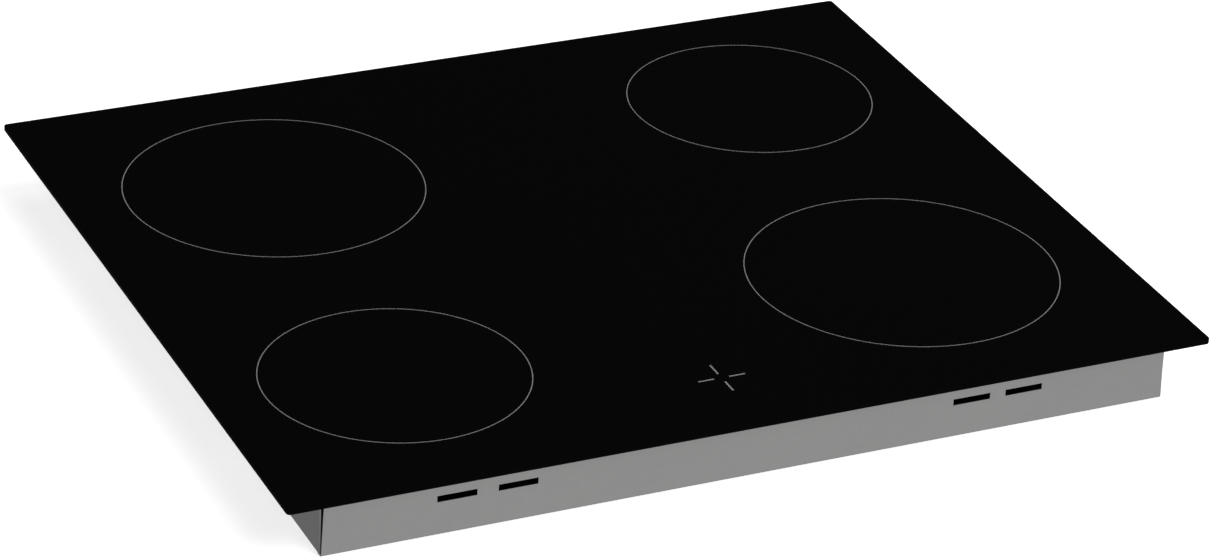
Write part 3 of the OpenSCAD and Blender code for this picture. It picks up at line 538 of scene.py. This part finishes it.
def leaf_rings():
    """Sections across the bowed leaf, as (out, along the wall, up) in millimetres from the wall."""
    thick, half_w, edge, soft, tip_round = 0.6, 11.0, 0.12, 0.75, 2.5
    path = eased([Vector(p) for p in ((0.3, 31.5), (0.3, 33.2), (0.9, 34.2), (1.9, 34.1), (2.5, 32.6),
                                      (7.4, 23.2), (8.6, 20.6), (7.4, 18.2), (3.4, 11.6))])
    rings = []
    for i, p in enumerate(path):
        along = (path[min(i + 1, len(path) - 1)] - path[max(i - 1, 0)]).normalized()
        out = Vector((-along.y, along.x)) * thick / 2
        # The free end is cut with round corners.
        inside = max(0.0, tip_round - (path[-1] - p).length)
        w = half_w - tip_round + math.sqrt(tip_round ** 2 - inside ** 2)
        section = ((w - edge, 1), (w, soft), (w, -soft), (w - edge, -1),
                   (-w + edge, -1), (-w, -soft), (-w, soft), (-w + edge, 1))
        rings.append([(p.x + out.x * k, across, p.y + out.y * k) for across, k in section])
    return rings


def base_outline():
    """The clip's screwed base, seen from outside: a plate with two round ears and a neck, in millimetres."""
    outline = [(22, 9), (22, 25), (11, 25), (11, 31.6), (-11, 31.6), (-11, 25), (-22, 25), (-22, 9)]
    radii = (2.5, 2.5, 1.0, 0, 0, 1.0, 2.5, 2.5)
    points = []
    for i, (corner, r) in enumerate(zip(outline, radii)):
        here, before, after = Vector(corner), Vector(outline[i - 1]), Vector(outline[(i + 1) % len(outline)])
        back, ahead = (before - here).normalized() * r, (after - here).normalized() * r
        turns = [math.pi / 2 * k / 5 for k in range(6)] if r else [0]
        points += [here + back * (1 - math.sin(t)) + ahead * (1 - math.cos(t)) for t in turns]
    return points


def make_clips():
    """A screwed base on the wall, and a leaf that bows out of it."""
    rings, base = leaf_rings(), base_outline()
    base_thick, break_edge = 0.6, 0.08 * MM
    # The share of its bow that a leaf keeps as the worktop presses it.
    for corner in CORNERS:
        low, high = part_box("clip_" + corner)
        s = 1 if high[0] > 0 else -1
        y = (low[1] + high[1]) / 2
        wall = low[0] if s > 0 else high[0]
        leaf = lofted([[(wall + s * x * MM, y + w * MM, z * MM) for x, w, z in ring] for ring in rings])
        leaf = piece("leaf_" + corner, leaf, "spring_steel", nodes=("clip_" + corner,), smooth=35)
        bm = lofted([[(wall + s * x * MM, y + w * MM, z * MM) for w, z in base] for x in (0.0, base_thick)])
        rim = [e for e in bm.edges if sum(len(face.verts) for face in e.link_faces) > 10]
        bmesh.ops.bevel(bm, geom=rim, offset=break_edge, segments=1, affect="EDGES")
        piece("clip_base_" + corner, bm, "spring_steel", smooth=35)
        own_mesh(leaf)


# ---------- inductors ----------

def winding_tree():
    """A flat spiral of bunched wire: a lobed bundle that twists as it goes round."""
    tree, sizes = sized_tree("litz_spiral", Inner="Float", Outer="Float", Turns="Float", Wire="Float",
                             Lay="Float")
    spiral = add(tree, "GeometryNodeCurveSpiral", {
        "Resolution": 110, "Rotations": sizes["Turns"], "Start Radius": sizes["Inner"],
        "End Radius": sizes["Outer"], "Height": 0.0})
    step = add(tree, "ShaderNodeMath", {0: sizes["Lay"], 1: 1 / 12}, operation="MULTIPLY")
    spiral = add(tree, "GeometryNodeResampleCurve", {"Curve": spiral.outputs[0], "Length": step.outputs[0]},
                 mode="LENGTH")
    along = add(tree, "GeometryNodeSplineParameter")
    twist = add(tree, "ShaderNodeMath", {0: along.outputs["Length"], 1: sizes["Lay"]}, operation="DIVIDE")
    twist = add(tree, "ShaderNodeMath", {0: twist.outputs[0], 1: 2 * math.pi}, operation="MULTIPLY")
    tilted = add(tree, "GeometryNodeSetCurveTilt", {"Curve": spiral.outputs[0], "Tilt": twist.outputs[0]})
    # Six strands show as lobes round the bundle.
    inner = add(tree, "ShaderNodeMath", {0: sizes["Wire"], 1: 0.86}, operation="MULTIPLY")
    star = add(tree, "GeometryNodeCurveStar", {
        "Points": 6, "Inner Radius": inner.outputs[0], "Outer Radius": sizes["Wire"]})
    wire = add(tree, "GeometryNodeCurveToMesh", {
        "Curve": tilted.outputs[0], "Profile Curve": star.outputs["Curve"], "Fill Caps": True})
    return end_tree(tree, wire.outputs[0], "enamelled_copper", sizes["Spots"])


def spring_tree():
    """A conical compression spring of round wire."""
    tree, sizes = sized_tree("conical_spring", Low="Float", High="Float", Height="Float", Wire="Float",
                             Turns="Float")
    coil = add(tree, "GeometryNodeCurveSpiral", {
        "Resolution": 40, "Rotations": sizes["Turns"], "Start Radius": sizes["Low"],
        "End Radius": sizes["High"], "Height": sizes["Height"]})
    section = add(tree, "GeometryNodeCurvePrimitiveCircle", {"Resolution": 10, "Radius": sizes["Wire"]})
    wire = add(tree, "GeometryNodeCurveToMesh", {
        "Curve": coil.outputs[0], "Profile Curve": section.outputs[0], "Fill Caps": True})
    return end_tree(tree, wire.outputs[0], "spring_steel", sizes["Spots"])


def lead_tree():
    """A short round lead in its sleeve, straight down."""
    tree, sizes = sized_tree("winding_lead", Length="Float", Radius="Float")
    down = add(tree, "ShaderNodeMath", {0: sizes["Length"], 1: -1.0}, operation="MULTIPLY")
    end = add(tree, "ShaderNodeCombineXYZ", {"Z": down.outputs[0]})
    line = add(tree, "GeometryNodeCurvePrimitiveLine", {"End": end.outputs[0]})
    section = add(tree, "GeometryNodeCurvePrimitiveCircle", {"Resolution": 16, "Radius": sizes["Radius"]})
    lead = add(tree, "GeometryNodeCurveToMesh", {
        "Curve": line.outputs[0], "Profile Curve": section.outputs[0], "Fill Caps": True})
    return end_tree(tree, lead.outputs[0], "silicone", sizes["Spots"])


def make_inductors():
    """Each inductor's winding, its two leads, and the three springs that press it against the glass."""
    spiral, spring, lead = winding_tree(), spring_tree(), lead_tree()
    bundle, pitch, lay, eye = 1.5 * MM, 3.2 * MM, 26 * MM, 24 * MM
    lead_r, lead_gap, lead_end = 1.5 * MM, 3.4 * MM, 21 * MM
    # The share of its height that a spring keeps as the inductor is pressed down.
    coil_wire, pressed = 0.35 * MM, 1.35 / 3.84
    for zone in ZONES:
        body = "inductor_" + zone
        low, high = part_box("winding_" + zone)
        centre = middle("winding_" + zone)
        outer = (high[0] - low[0]) / 2
        made = grown(spiral, [tuple(centre)], Inner=eye + bundle, Outer=outer - bundle, Wire=bundle, Lay=lay,
                     Turns=math.floor((outer - eye) / pitch) - 0.5)
        piece("litz_winding_" + zone, made, "enamelled_copper", body, ("winding_" + zone,), smooth=50)

        # Both ends of the wire leave in sleeves, between two ferrite bars, through the coil plate's hole.
        ray = Matrix.Rotation(math.radians(67.5), 3, "Z")
        foot = Vector((centre.x, centre.y, low[2] + 0.4 * MM))
        spots = [foot + ray @ Vector((outer - 6 * MM, s * lead_gap / 2, 0)) for s in (-1, 1)]
        made = grown(lead, spots, Length=low[2] - lead_end, Radius=lead_r)
        piece("sleeved_leads_" + zone, made, "silicone", body, smooth=50)

        low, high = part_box("springs_" + zone)
        post = 0.6 * outer
        spots = []
        for spoke in (0, 3, 5):
            a = math.radians(45 * spoke)
            spots.append((centre.x + post * math.cos(a), centre.y + post * math.sin(a), low[2] + coil_wire))
        made = grown(spring, spots, Low=5.9 * MM, High=3.4 * MM, Height=high[2] - low[2] - 2 * coil_wire,
                     Wire=coil_wire, Turns=3.0)
        made = piece("conical_springs_" + zone, made, "spring_steel", nodes=("springs_" + zone,), smooth=50)
        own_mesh(made)


# ---------- chokes ----------

def toroid_tree():
    """A lacquered core with turns of wire round its section."""
    tree, sizes = sized_tree("wound_toroid", Outer="Float", Inner="Float", Height="Float", Wire="Float",
                             Turns="Int")
    total = add(tree, "ShaderNodeMath", {0: sizes["Outer"], 1: sizes["Inner"]}, operation="ADD").outputs[0]
    mean = add(tree, "ShaderNodeMath", {0: total, 1: 0.5}, operation="MULTIPLY").outputs[0]
    width = add(tree, "ShaderNodeMath", {0: sizes["Outer"], 1: sizes["Inner"]}, operation="SUBTRACT")
    corner = add(tree, "ShaderNodeMath", {0: sizes["Wire"], 1: 1.6}, operation="MULTIPLY").outputs[0]
    outlines = []
    for wires_lost in (6.0, 2.0):
        # The core leaves room for the wire; the turns run round it in the middle of that room.
        lost = add(tree, "ShaderNodeMath", {0: sizes["Wire"], 1: wires_lost}, operation="MULTIPLY").outputs[0]
        w = add(tree, "ShaderNodeMath", {0: width.outputs[0], 1: lost}, operation="SUBTRACT").outputs[0]
        h = add(tree, "ShaderNodeMath", {0: sizes["Height"], 1: lost}, operation="SUBTRACT").outputs[0]
        outline = add(tree, "GeometryNodeCurvePrimitiveQuadrilateral", {"Width": w, "Height": h})
        outline = add(tree, "GeometryNodeFilletCurve", {
            "Curve": outline.outputs[0], "Radius": corner, "Count": 3, "Limit Radius": True}, mode="POLY")
        outlines.append(outline.outputs[0])
    ring = add(tree, "GeometryNodeCurvePrimitiveCircle", {"Resolution": 64, "Radius": mean})
    core = add(tree, "GeometryNodeCurveToMesh", {"Curve": ring.outputs[0], "Profile Curve": outlines[0]})
    section = add(tree, "GeometryNodeCurvePrimitiveCircle", {"Resolution": 8, "Radius": sizes["Wire"]})
    turn = add(tree, "GeometryNodeCurveToMesh", {"Curve": outlines[1], "Profile Curve": section.outputs[0]})
    turn = add(tree, "GeometryNodeStoreNamedAttribute", {
        "Geometry": turn.outputs[0], "Name": "enamelled_copper", "Value": True}, data_type="BOOLEAN",
        domain="FACE")
    turn = add(tree, "GeometryNodeTransform", {"Geometry": turn.outputs[0], "Rotation": (math.pi / 2, 0, 0)})
    spread = add(tree, "GeometryNodeCurvePrimitiveCircle", {"Resolution": sizes["Turns"], "Radius": mean})
    points = add(tree, "GeometryNodeCurveToPoints", {"Curve": spread.outputs[0]}, mode="EVALUATED")
    facing = add(tree, "FunctionNodeAlignRotationToVector", {"Vector": points.outputs["Tangent"]}, axis="Y")
    wound = add(tree, "GeometryNodeInstanceOnPoints", {
        "Points": points.outputs["Points"], "Instance": turn.outputs[0], "Rotation": facing.outputs[0]})
    whole = add(tree, "GeometryNodeJoinGeometry", {"Geometry": core.outputs[0]})
    tree.links.new(wound.outputs[0], whole.inputs[0])
    return end_tree(tree, whole.outputs[0], "ferrite", sizes["Spots"], "enamelled_copper")


def make_chokes():
    """Two small chokes on each power board, and a large one on the filter board."""
    tree = toroid_tree()
    board_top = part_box("filter_board")[1][2]
    spots = []
    for hand, s in (("left", -1), ("right", 1)):
        x = middle("heat_sink_" + hand).x
        spots += [(x + s * reach * MM, -135 * MM, board_top + 5.75 * MM) for reach in (54, -60)]
    small = grown(tree, spots, Outer=15 * MM, Inner=6 * MM, Height=11.5 * MM, Wire=0.6 * MM, Turns=26)
    large = grown(tree, [(26 * MM, 100 * MM, board_top + 9 * MM)], Outer=20 * MM, Inner=8 * MM,
                  Height=18 * MM, Wire=0.75 * MM, Turns=28)
    wound = joined("toroid_chokes", small, large)
    piece("toroid_chokes", wound, "enamelled_copper", nodes=("chokes",), smooth=50)


# ---------- small parts on the boards ----------

TINNED = "zinc_plated_screw"


def block(bm, low, high, tinned=False):
    """A box between two corners in millimetres, its faces marked where they are tinned."""
    made = bmesh.ops.create_cube(bm, size=1)["verts"]
    size = [(b - a) * MM for a, b in zip(low, high)]
    mid = [(a + b) / 2 * MM for a, b in zip(low, high)]
    bmesh.ops.transform(bm, matrix=Matrix.Translation(mid) @ Matrix.Diagonal((*size, 1)), verts=made)
    mark = bm.faces.layers.bool.get(TINNED) or bm.faces.layers.bool.new(TINNED)
    for face in {f for v in made for f in v.link_faces}:
        face[mark] = tinned


def chip_blank():
    """A flat package with eight tinned legs."""
    bm = bmesh.new()
    block(bm, (-2.5, -2, 0.15), (2.5, 2, 1.5))
    for leg in range(4):
        x = (leg - 1.5) * 1.27
        for near, far in ((-3.1, -1.9), (1.9, 3.1)):
            block(bm, (x - 0.2, near, 0), (x + 0.2, far, 0.35), tinned=True)
    return bpy.data.objects.new("chip_blank", as_mesh("chip_blank", bm, "epoxy_package"))


def resistor_blank():
    """A chip resistor: a dark body between two tinned ends."""
    bm = bmesh.new()
    block(bm, (-0.7, -0.6, 0.02), (0.7, 0.6, 0.5))
    for near, far in ((-1.05, -0.65), (0.65, 1.05)):
        block(bm, (near, -0.62, 0), (far, 0.62, 0.55), tinned=True)
    return bpy.data.objects.new("resistor_blank", as_mesh("resistor_blank", bm, "epoxy_package"))


def parts_tree():
    """Small parts strewn on free patches of a board, square to it, never closer than a set distance."""
    tree, sizes = sized_tree("mounted_parts", Blank="Object", Gap="Float", Seed="Int")
    strewn = add(tree, "GeometryNodeDistributePointsOnFaces", {
        "Mesh": sizes["Spots"], "Distance Min": sizes["Gap"], "Density Max": 60000.0, "Seed": sizes["Seed"]},
        distribute_method="POISSON")
    # Inputs 4 and 5 are the least and most whole number: none to three quarter turns.
    quarter = add(tree, "FunctionNodeRandomValue", {4: 0, 5: 3, "Seed": sizes["Seed"]}, data_type="INT")
    angle = add(tree, "ShaderNodeMath", {0: quarter.outputs[2], 1: math.pi / 2}, operation="MULTIPLY")
    turn = add(tree, "ShaderNodeCombineXYZ", {"Z": angle.outputs[0]})
    turn = add(tree, "FunctionNodeEulerToRotation", {0: turn.outputs[0]})
    blank = add(tree, "GeometryNodeObjectInfo", {"Object": sizes["Blank"]})
    placed = add(tree, "GeometryNodeInstanceOnPoints", {
        "Points": strewn.outputs["Points"], "Instance": blank.outputs["Geometry"],
        "Rotation": turn.outputs[0]})
    return end_tree(tree, placed.outputs[0], "epoxy_package", marked=TINNED)


def make_board_parts():
    """Chips, and chip resistors before them, on the free patch in front of each power board's heat sink."""
    tree = parts_tree()
    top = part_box("power_board_left")[1][2]
    centres = [middle("power_board_" + hand).x for hand in ("left", "right")]
    half_w = 35 * MM
    for kind, blank, gap, front, rear in (("chips", chip_blank(), 10, -160, -140),
                                          ("resistors", resistor_blank(), 4.2, -182, -166)):
        corners = [(x + s * half_w, y * MM, top) for x in centres
                   for s, y in ((-1, front), (1, front), (1, rear), (-1, rear))]
        made = grown(tree, corners, faces=[(0, 1, 2, 3), (4, 5, 6, 7)], Blank=blank, Gap=gap * MM, Seed=5)
        piece("mounted_" + kind, made, "epoxy_package")


# ---------- impellers ----------

def blade_tree():
    """Curved blades, each an arc in plan, set evenly round a hub."""
    tree, sizes = sized_tree("curved_blades", Root="Vector", Belly="Vector", Tip="Vector", Thickness="Float",
                             Height="Float", Count="Int")
    arc = add(tree, "GeometryNodeCurveArc", {
        "Resolution": 9, "Start": sizes["Root"], "Middle": sizes["Belly"], "End": sizes["Tip"]},
        mode="POINTS")
    section = add(tree, "GeometryNodeCurvePrimitiveQuadrilateral", {
        "Width": sizes["Thickness"], "Height": sizes["Height"]})
    blade = add(tree, "GeometryNodeCurveToMesh", {
        "Curve": arc.outputs[0], "Profile Curve": section.outputs[0], "Fill Caps": True})
    many = add(tree, "GeometryNodeMeshLine", {"Count": sizes["Count"], "Offset": (0, 0, 0)})
    number = add(tree, "GeometryNodeInputIndex")
    step = add(tree, "ShaderNodeMath", {0: 2 * math.pi, 1: sizes["Count"]}, operation="DIVIDE")
    angle = add(tree, "ShaderNodeMath", {0: number.outputs[0], 1: step.outputs[0]}, operation="MULTIPLY")
    turn = add(tree, "ShaderNodeCombineXYZ", {"Z": angle.outputs[0]})
    turn = add(tree, "FunctionNodeEulerToRotation", {0: turn.outputs[0]})
    fan = add(tree, "GeometryNodeInstanceOnPoints", {
        "Points": many.outputs[0], "Instance": blade.outputs[0], "Rotation": turn.outputs[0]})
    return end_tree(tree, fan.outputs[0], "black_nylon", sizes["Spots"])


def make_impellers():
    """A cup over the motor, with a disc round its rim and a boss on its shaft, and blades on a lower ring."""
    tree = blade_tree()
    # Both outlines are (radius, height over the tray's underside) in millimetres.
    cup = [(0, 5), (12.6, 5), (13, 5.4), (13, 14.6), (13.4, 15), (28, 15), (28, 16.2), (12.2, 16.2),
           (11.8, 15.8), (11.8, 6.6), (11.4, 6.2), (1.9, 6.2), (1.5, 6.6), (1.5, 15.8), (1.3, 16), (0, 16)]
    ring = [(26.2, 3.5), (27.8, 3.5), (28, 3.7), (28, 4.3), (27.8, 4.5), (26.2, 4.5), (26, 4.3), (26, 3.7)]
    for side, hand in (("left", 1), ("right", -1)):
        low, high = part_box("impeller_" + side)
        centre = middle("impeller_" + side)
        solids = [as_mesh("turned", turned([(r * MM, z * MM) for r, z in outline], 72, loop), "black_nylon")
                  for outline, loop in ((cup, False), (ring, True))]
        blades = grown(tree, [(0, 0, centre.z)], Root=(20.6 * MM, 0, 0),
                       Belly=(24.6 * MM, -hand * 1.2 * MM, 0), Tip=(27.2 * MM, -hand * 3.9 * MM, 0),
                       Thickness=0.8 * MM, Height=high[2] - low[2] - 0.6 * MM, Count=28)
        wheel = joined("impeller_wheel_" + side, *solids, blades)
        wheel.transform(Matrix.Translation((centre.x, centre.y, 0)))
        piece("impeller_wheel_" + side, wheel, "black_nylon", "impeller_" + side + "_body",
              ("impeller_" + side,), smooth=35)


# ---------- moulded and cut parts ----------

def softened(node, width_mm):
    """A copy of a CAD node, merged into whole faces, whose sharp edges are broken by a small round."""
    seam, flat, sharp, shaded = 0.002 * MM, math.radians(0.6), math.radians(40), math.radians(32)
    bm = bmesh.new()
    bm.from_mesh(frame["nodes"][node].data)
    bmesh.ops.remove_doubles(bm, verts=bm.verts, dist=seam)
    bmesh.ops.dissolve_limit(bm, angle_limit=flat, verts=bm.verts, edges=bm.edges)
    mesh = as_mesh(node + "_finished", bm)
    if width_mm:
        mesh = with_modifier(mesh, "BEVEL", width=width_mm * MM, segments=2, limit_method="ANGLE",
                             angle_limit=sharp)
    mesh.shade_smooth()
    mesh.set_sharp_from_angle(angle=shaded)
    # Broad faces keep their own normals, so that only the rounds are shaded round.
    return with_modifier(mesh, "WEIGHTED_NORMAL", keep_sharp=True, weight=100)


def make_gland():
    """A rubber gland: a plug in the wall's opening, a flange on it, and a grooved collar round the bore."""
    low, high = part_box("cable_gland")
    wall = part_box("tray")[1][1]
    centre = middle("cable_gland")
    half_w, half_h = (high[0] - low[0]) / 2, (high[2] - low[2]) / 2
    turns = [2 * math.pi * i / 96 for i in range(96)]

    def box_ring(w, h, r, y):
        """A rectangle with rounded corners, met by evenly spread rays from its middle."""
        ring = []
        for a in turns:
            reach = min(w / max(abs(math.cos(a)), 1e-9), h / max(abs(math.sin(a)), 1e-9))
            p = Vector((reach * math.cos(a), reach * math.sin(a)))
            corner = Vector((math.copysign(w - r, p.x), math.copysign(h - r, p.y)))
            if abs(p.x) > w - r and abs(p.y) > h - r:
                p = corner + (p - corner).normalized() * r
            ring.append((centre.x + p.x, y, centre.z + p.y))
        return ring

    def round_ring(r_mm, y):
        """A circle round the bore."""
        return [(centre.x + r_mm * MM * math.cos(a), y, centre.z + r_mm * MM * math.sin(a)) for a in turns]

    plug_w, plug_h, plug_r, chamfer = 15.8 * MM, 8.3 * MM, 1.6 * MM, 0.6 * MM
    rings = [box_ring(plug_w - chamfer, plug_h - chamfer, 1.2 * MM, low[1]),
             box_ring(plug_w, plug_h, plug_r, low[1] + chamfer), box_ring(plug_w, plug_h, plug_r, wall)]
    flange = 2 * MM
    for inset, rise in ((0, 0), (0, 0.55), (0.2, 0.8), (0.7, 1.0)):
        rings.append(box_ring(half_w - inset * MM, half_h - inset * MM, (3 - inset * 0.5) * MM,
                              wall + rise * flange))
    face, tip, collar, groove, bore = wall + flange, high[1], 8.7, 8.0, 6.5
    rings += [round_ring(r, face + y * MM) for r, y in ((10.2, 0.0), (9.4, 0.2), (8.9, 0.6), (collar, 1.1))]
    for step in (1.5, 2.9, 4.3):
        for r, y in ((collar, 0), (groove, 0.2), (groove, 0.6), (collar, 0.8)):
            rings.append(round_ring(r, face + (step + y) * MM))
    rings += [round_ring(8.6, tip - 0.15 * MM), round_ring(8.3, tip), round_ring(7.0, tip),
              round_ring(bore, tip - 0.5 * MM), round_ring(bore, low[1] + 0.3 * MM), round_ring(6.8, low[1])]
    piece("rubber_cable_gland", lofted(rings, loop=True), "silicone", nodes=("cable_gland",), smooth=35)


def make_cover_grip():
    """Low ribs moulded across the free end of the terminal cover, for a thumb."""
    low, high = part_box("terminal_cover")
    # Places along a rib with its share of the full width there, and its section as (across, up).
    stations = ((-14, 0.3), (-13.4, 1), (13.4, 1), (14, 0.3))
    section = ((0.6, 0.05), (0.35, -0.14), (-0.35, -0.14), (-0.6, 0.05))
    ribs = []
    for number in range(6):
        y = high[1] - (5 + 2.2 * number) * MM
        rings = [[(x * MM, y + w * wide * MM, low[2] + z * MM) for w, z in section] for x, wide in stations]
        ribs.append(as_mesh("rib", lofted(rings), "white_nylon"))
    grip = joined("cover_grip_ribs", *ribs)
    piece("cover_grip_ribs", grip, "white_nylon", "terminal_cover_body", smooth=35)


# Round on each part's edges, in millimetres; none where the sheet is cut.
EDGE = {
    "tray": 0.0, "glass_frame": 0.0, "worktop_seal": 0.4, "glass_adhesive": 0.25,
    "terminal_cover": 0.3, "terminal_box": 0.35, "terminal_block": 0.3, "cord_clamp": 0.3,
    "blower_housing_left": 0.35, "blower_housing_right": 0.35, "blower_motors": 0.3,
    "heat_sink_left": 0.15, "heat_sink_right": 0.15, "power_transistors": 0.12, "film_capacitors": 0.7,
    "coil_plate_left": 0.1, "coil_plate_right": 0.1, "power_board_left": 0.12, "power_board_right": 0.12,
    "filter_board": 0.12, "touch_board": 0.1, "touch_board_holder": 0.25, "board_spacers": 0.2,
    "light_guides": 0.2, "former_": 0.2, "ferrites_": 0.4, "insulator_": 0.08, "sensor_": 0.25,
}


def make_finished_parts():
    """Every part in EDGE as its CAD solid with its edges broken."""
    for entry in frame["record"]["subparts"]:
        node = entry["node"]
        zone = next((z for z in ZONES if node.endswith(z)), "")
        width = EDGE.get(node, EDGE.get(node.removesuffix(zone)))
        if width is None:
            continue
        body = "inductor_" + zone if zone else "terminal_cover_body" if node == "terminal_cover" else ROOT
        mesh = softened(node, width)
        mesh.materials.clear()
        piece(node + "_finished", mesh, entry["material_slot"], body, (node,))


make_glass()
make_marks()
make_screws()
make_clips()
make_inductors()
make_chokes()
make_board_parts()
make_impellers()
make_gland()
make_cover_grip()
make_finished_parts()

# ---------- CAD nodes that keep their shape ----------

slots = {entry["node"]: entry["material_slot"] for entry in frame["record"]["subparts"]}
for name, obj in frame["nodes"].items():
    for place in obj.material_slots:
        place.material = FINISH[slots[name]]


# ---------- stage ----------

def softbox(name, place, width, height, watts):
    """A soft lamp that points at the hob."""
    lamp = bpy.data.lights.new(name, "AREA")
    lamp.shape, lamp.size, lamp.size_y, lamp.energy = "RECTANGLE", width, height, watts
    obj = bpy.data.objects.new(name, lamp)
    turn = Vector(place).to_track_quat("Z", "Y").to_matrix().to_4x4()
    obj.matrix_world = Matrix.Translation(place) @ turn
    bpy.context.scene.collection.objects.link(obj)


def make_floor():
    """A white table, lit through from below, that looks white and throws no image into the steel."""
    bm = bmesh.new()
    bmesh.ops.create_circle(bm, cap_ends=True, segments=96, radius=14.0)
    mesh = as_mesh("floor", bm)
    floor = bpy.data.objects.new("floor", mesh)
    floor.location.z = -0.2 * MM
    floor.visible_glossy = False
    bpy.context.scene.collection.objects.link(floor)
    material = new_finish("backlit_white_acrylic_table", Base_Color=srgb("#f2f2f2"), Roughness=0.9,
                          Specular_IOR_Level=0.1, Emission_Color=srgb("#ffffff"), Emission_Strength=0.72)[0]
    mesh.materials.append(material)


def make_world():
    """A pale studio wall, brightest in front on the right, under a dark ceiling that keeps glass black."""
    world = bpy.data.worlds.new("studio")
    bpy.context.scene.world = world
    world.use_nodes = True
    tree = world.node_tree
    tree.nodes.clear()
    direction = add(tree, "ShaderNodeTexCoord").outputs["Generated"]
    height = add(tree, "ShaderNodeSeparateXYZ", {"Vector": direction})
    ceiling = add(tree, "ShaderNodeMapRange", {
        "Value": height.outputs["Z"], "From Min": 0.06, "From Max": 0.24, "To Min": 1.0, "To Max": 0.02},
        interpolation_type="SMOOTHSTEP")
    side = add(tree, "ShaderNodeVectorMath", {0: direction, 1: (0.62, -0.78, 0.0)}, operation="DOT_PRODUCT")
    side = add(tree, "ShaderNodeMapRange", {
        "Value": side.outputs["Value"], "From Min": -0.8, "From Max": 0.8, "To Min": 0.42, "To Max": 1.0},
        interpolation_type="SMOOTHSTEP")
    light = add(tree, "ShaderNodeMath", {0: ceiling.outputs["Result"], 1: side.outputs["Result"]},
                operation="MULTIPLY")
    background = add(tree, "ShaderNodeBackground", {"Color": light.outputs[0], "Strength": 0.82})
    add(tree, "ShaderNodeOutputWorld", {"Surface": background.outputs[0]})


def make_camera():
    """A long lens, in front on the left and well above the hob."""
    lens = bpy.data.cameras.new("camera")
    lens.sensor_width, lens.lens = 36.0, 142.18
    lens.clip_start, lens.clip_end = 0.05, 60.0
    camera = bpy.data.objects.new("camera", lens)
    turn = Euler([math.radians(a) for a in (62.093, -2.474, -24.077)]).to_matrix().to_4x4()
    camera.matrix_world = Matrix.Translation((-1.1173, -2.3851, 1.3997)) @ turn
    bpy.context.scene.collection.objects.link(camera)
    bpy.context.scene.camera = camera


make_floor()
make_world()
softbox("front_softbox", (1.2, -3.4, 3.8), 3.0, 2.0, 110)
softbox("left_softbox", (-3.4, 0.6, 4.2), 2.0, 3.0, 40)
softbox("right_softbox", (3.4, 0.4, 4.2), 2.0, 3.0, 70)
softbox("rear_softbox", (0.2, 3.4, 4.6), 3.0, 2.0, 40)
make_camera()
bpy.context.scene.view_settings.view_transform = "Standard"
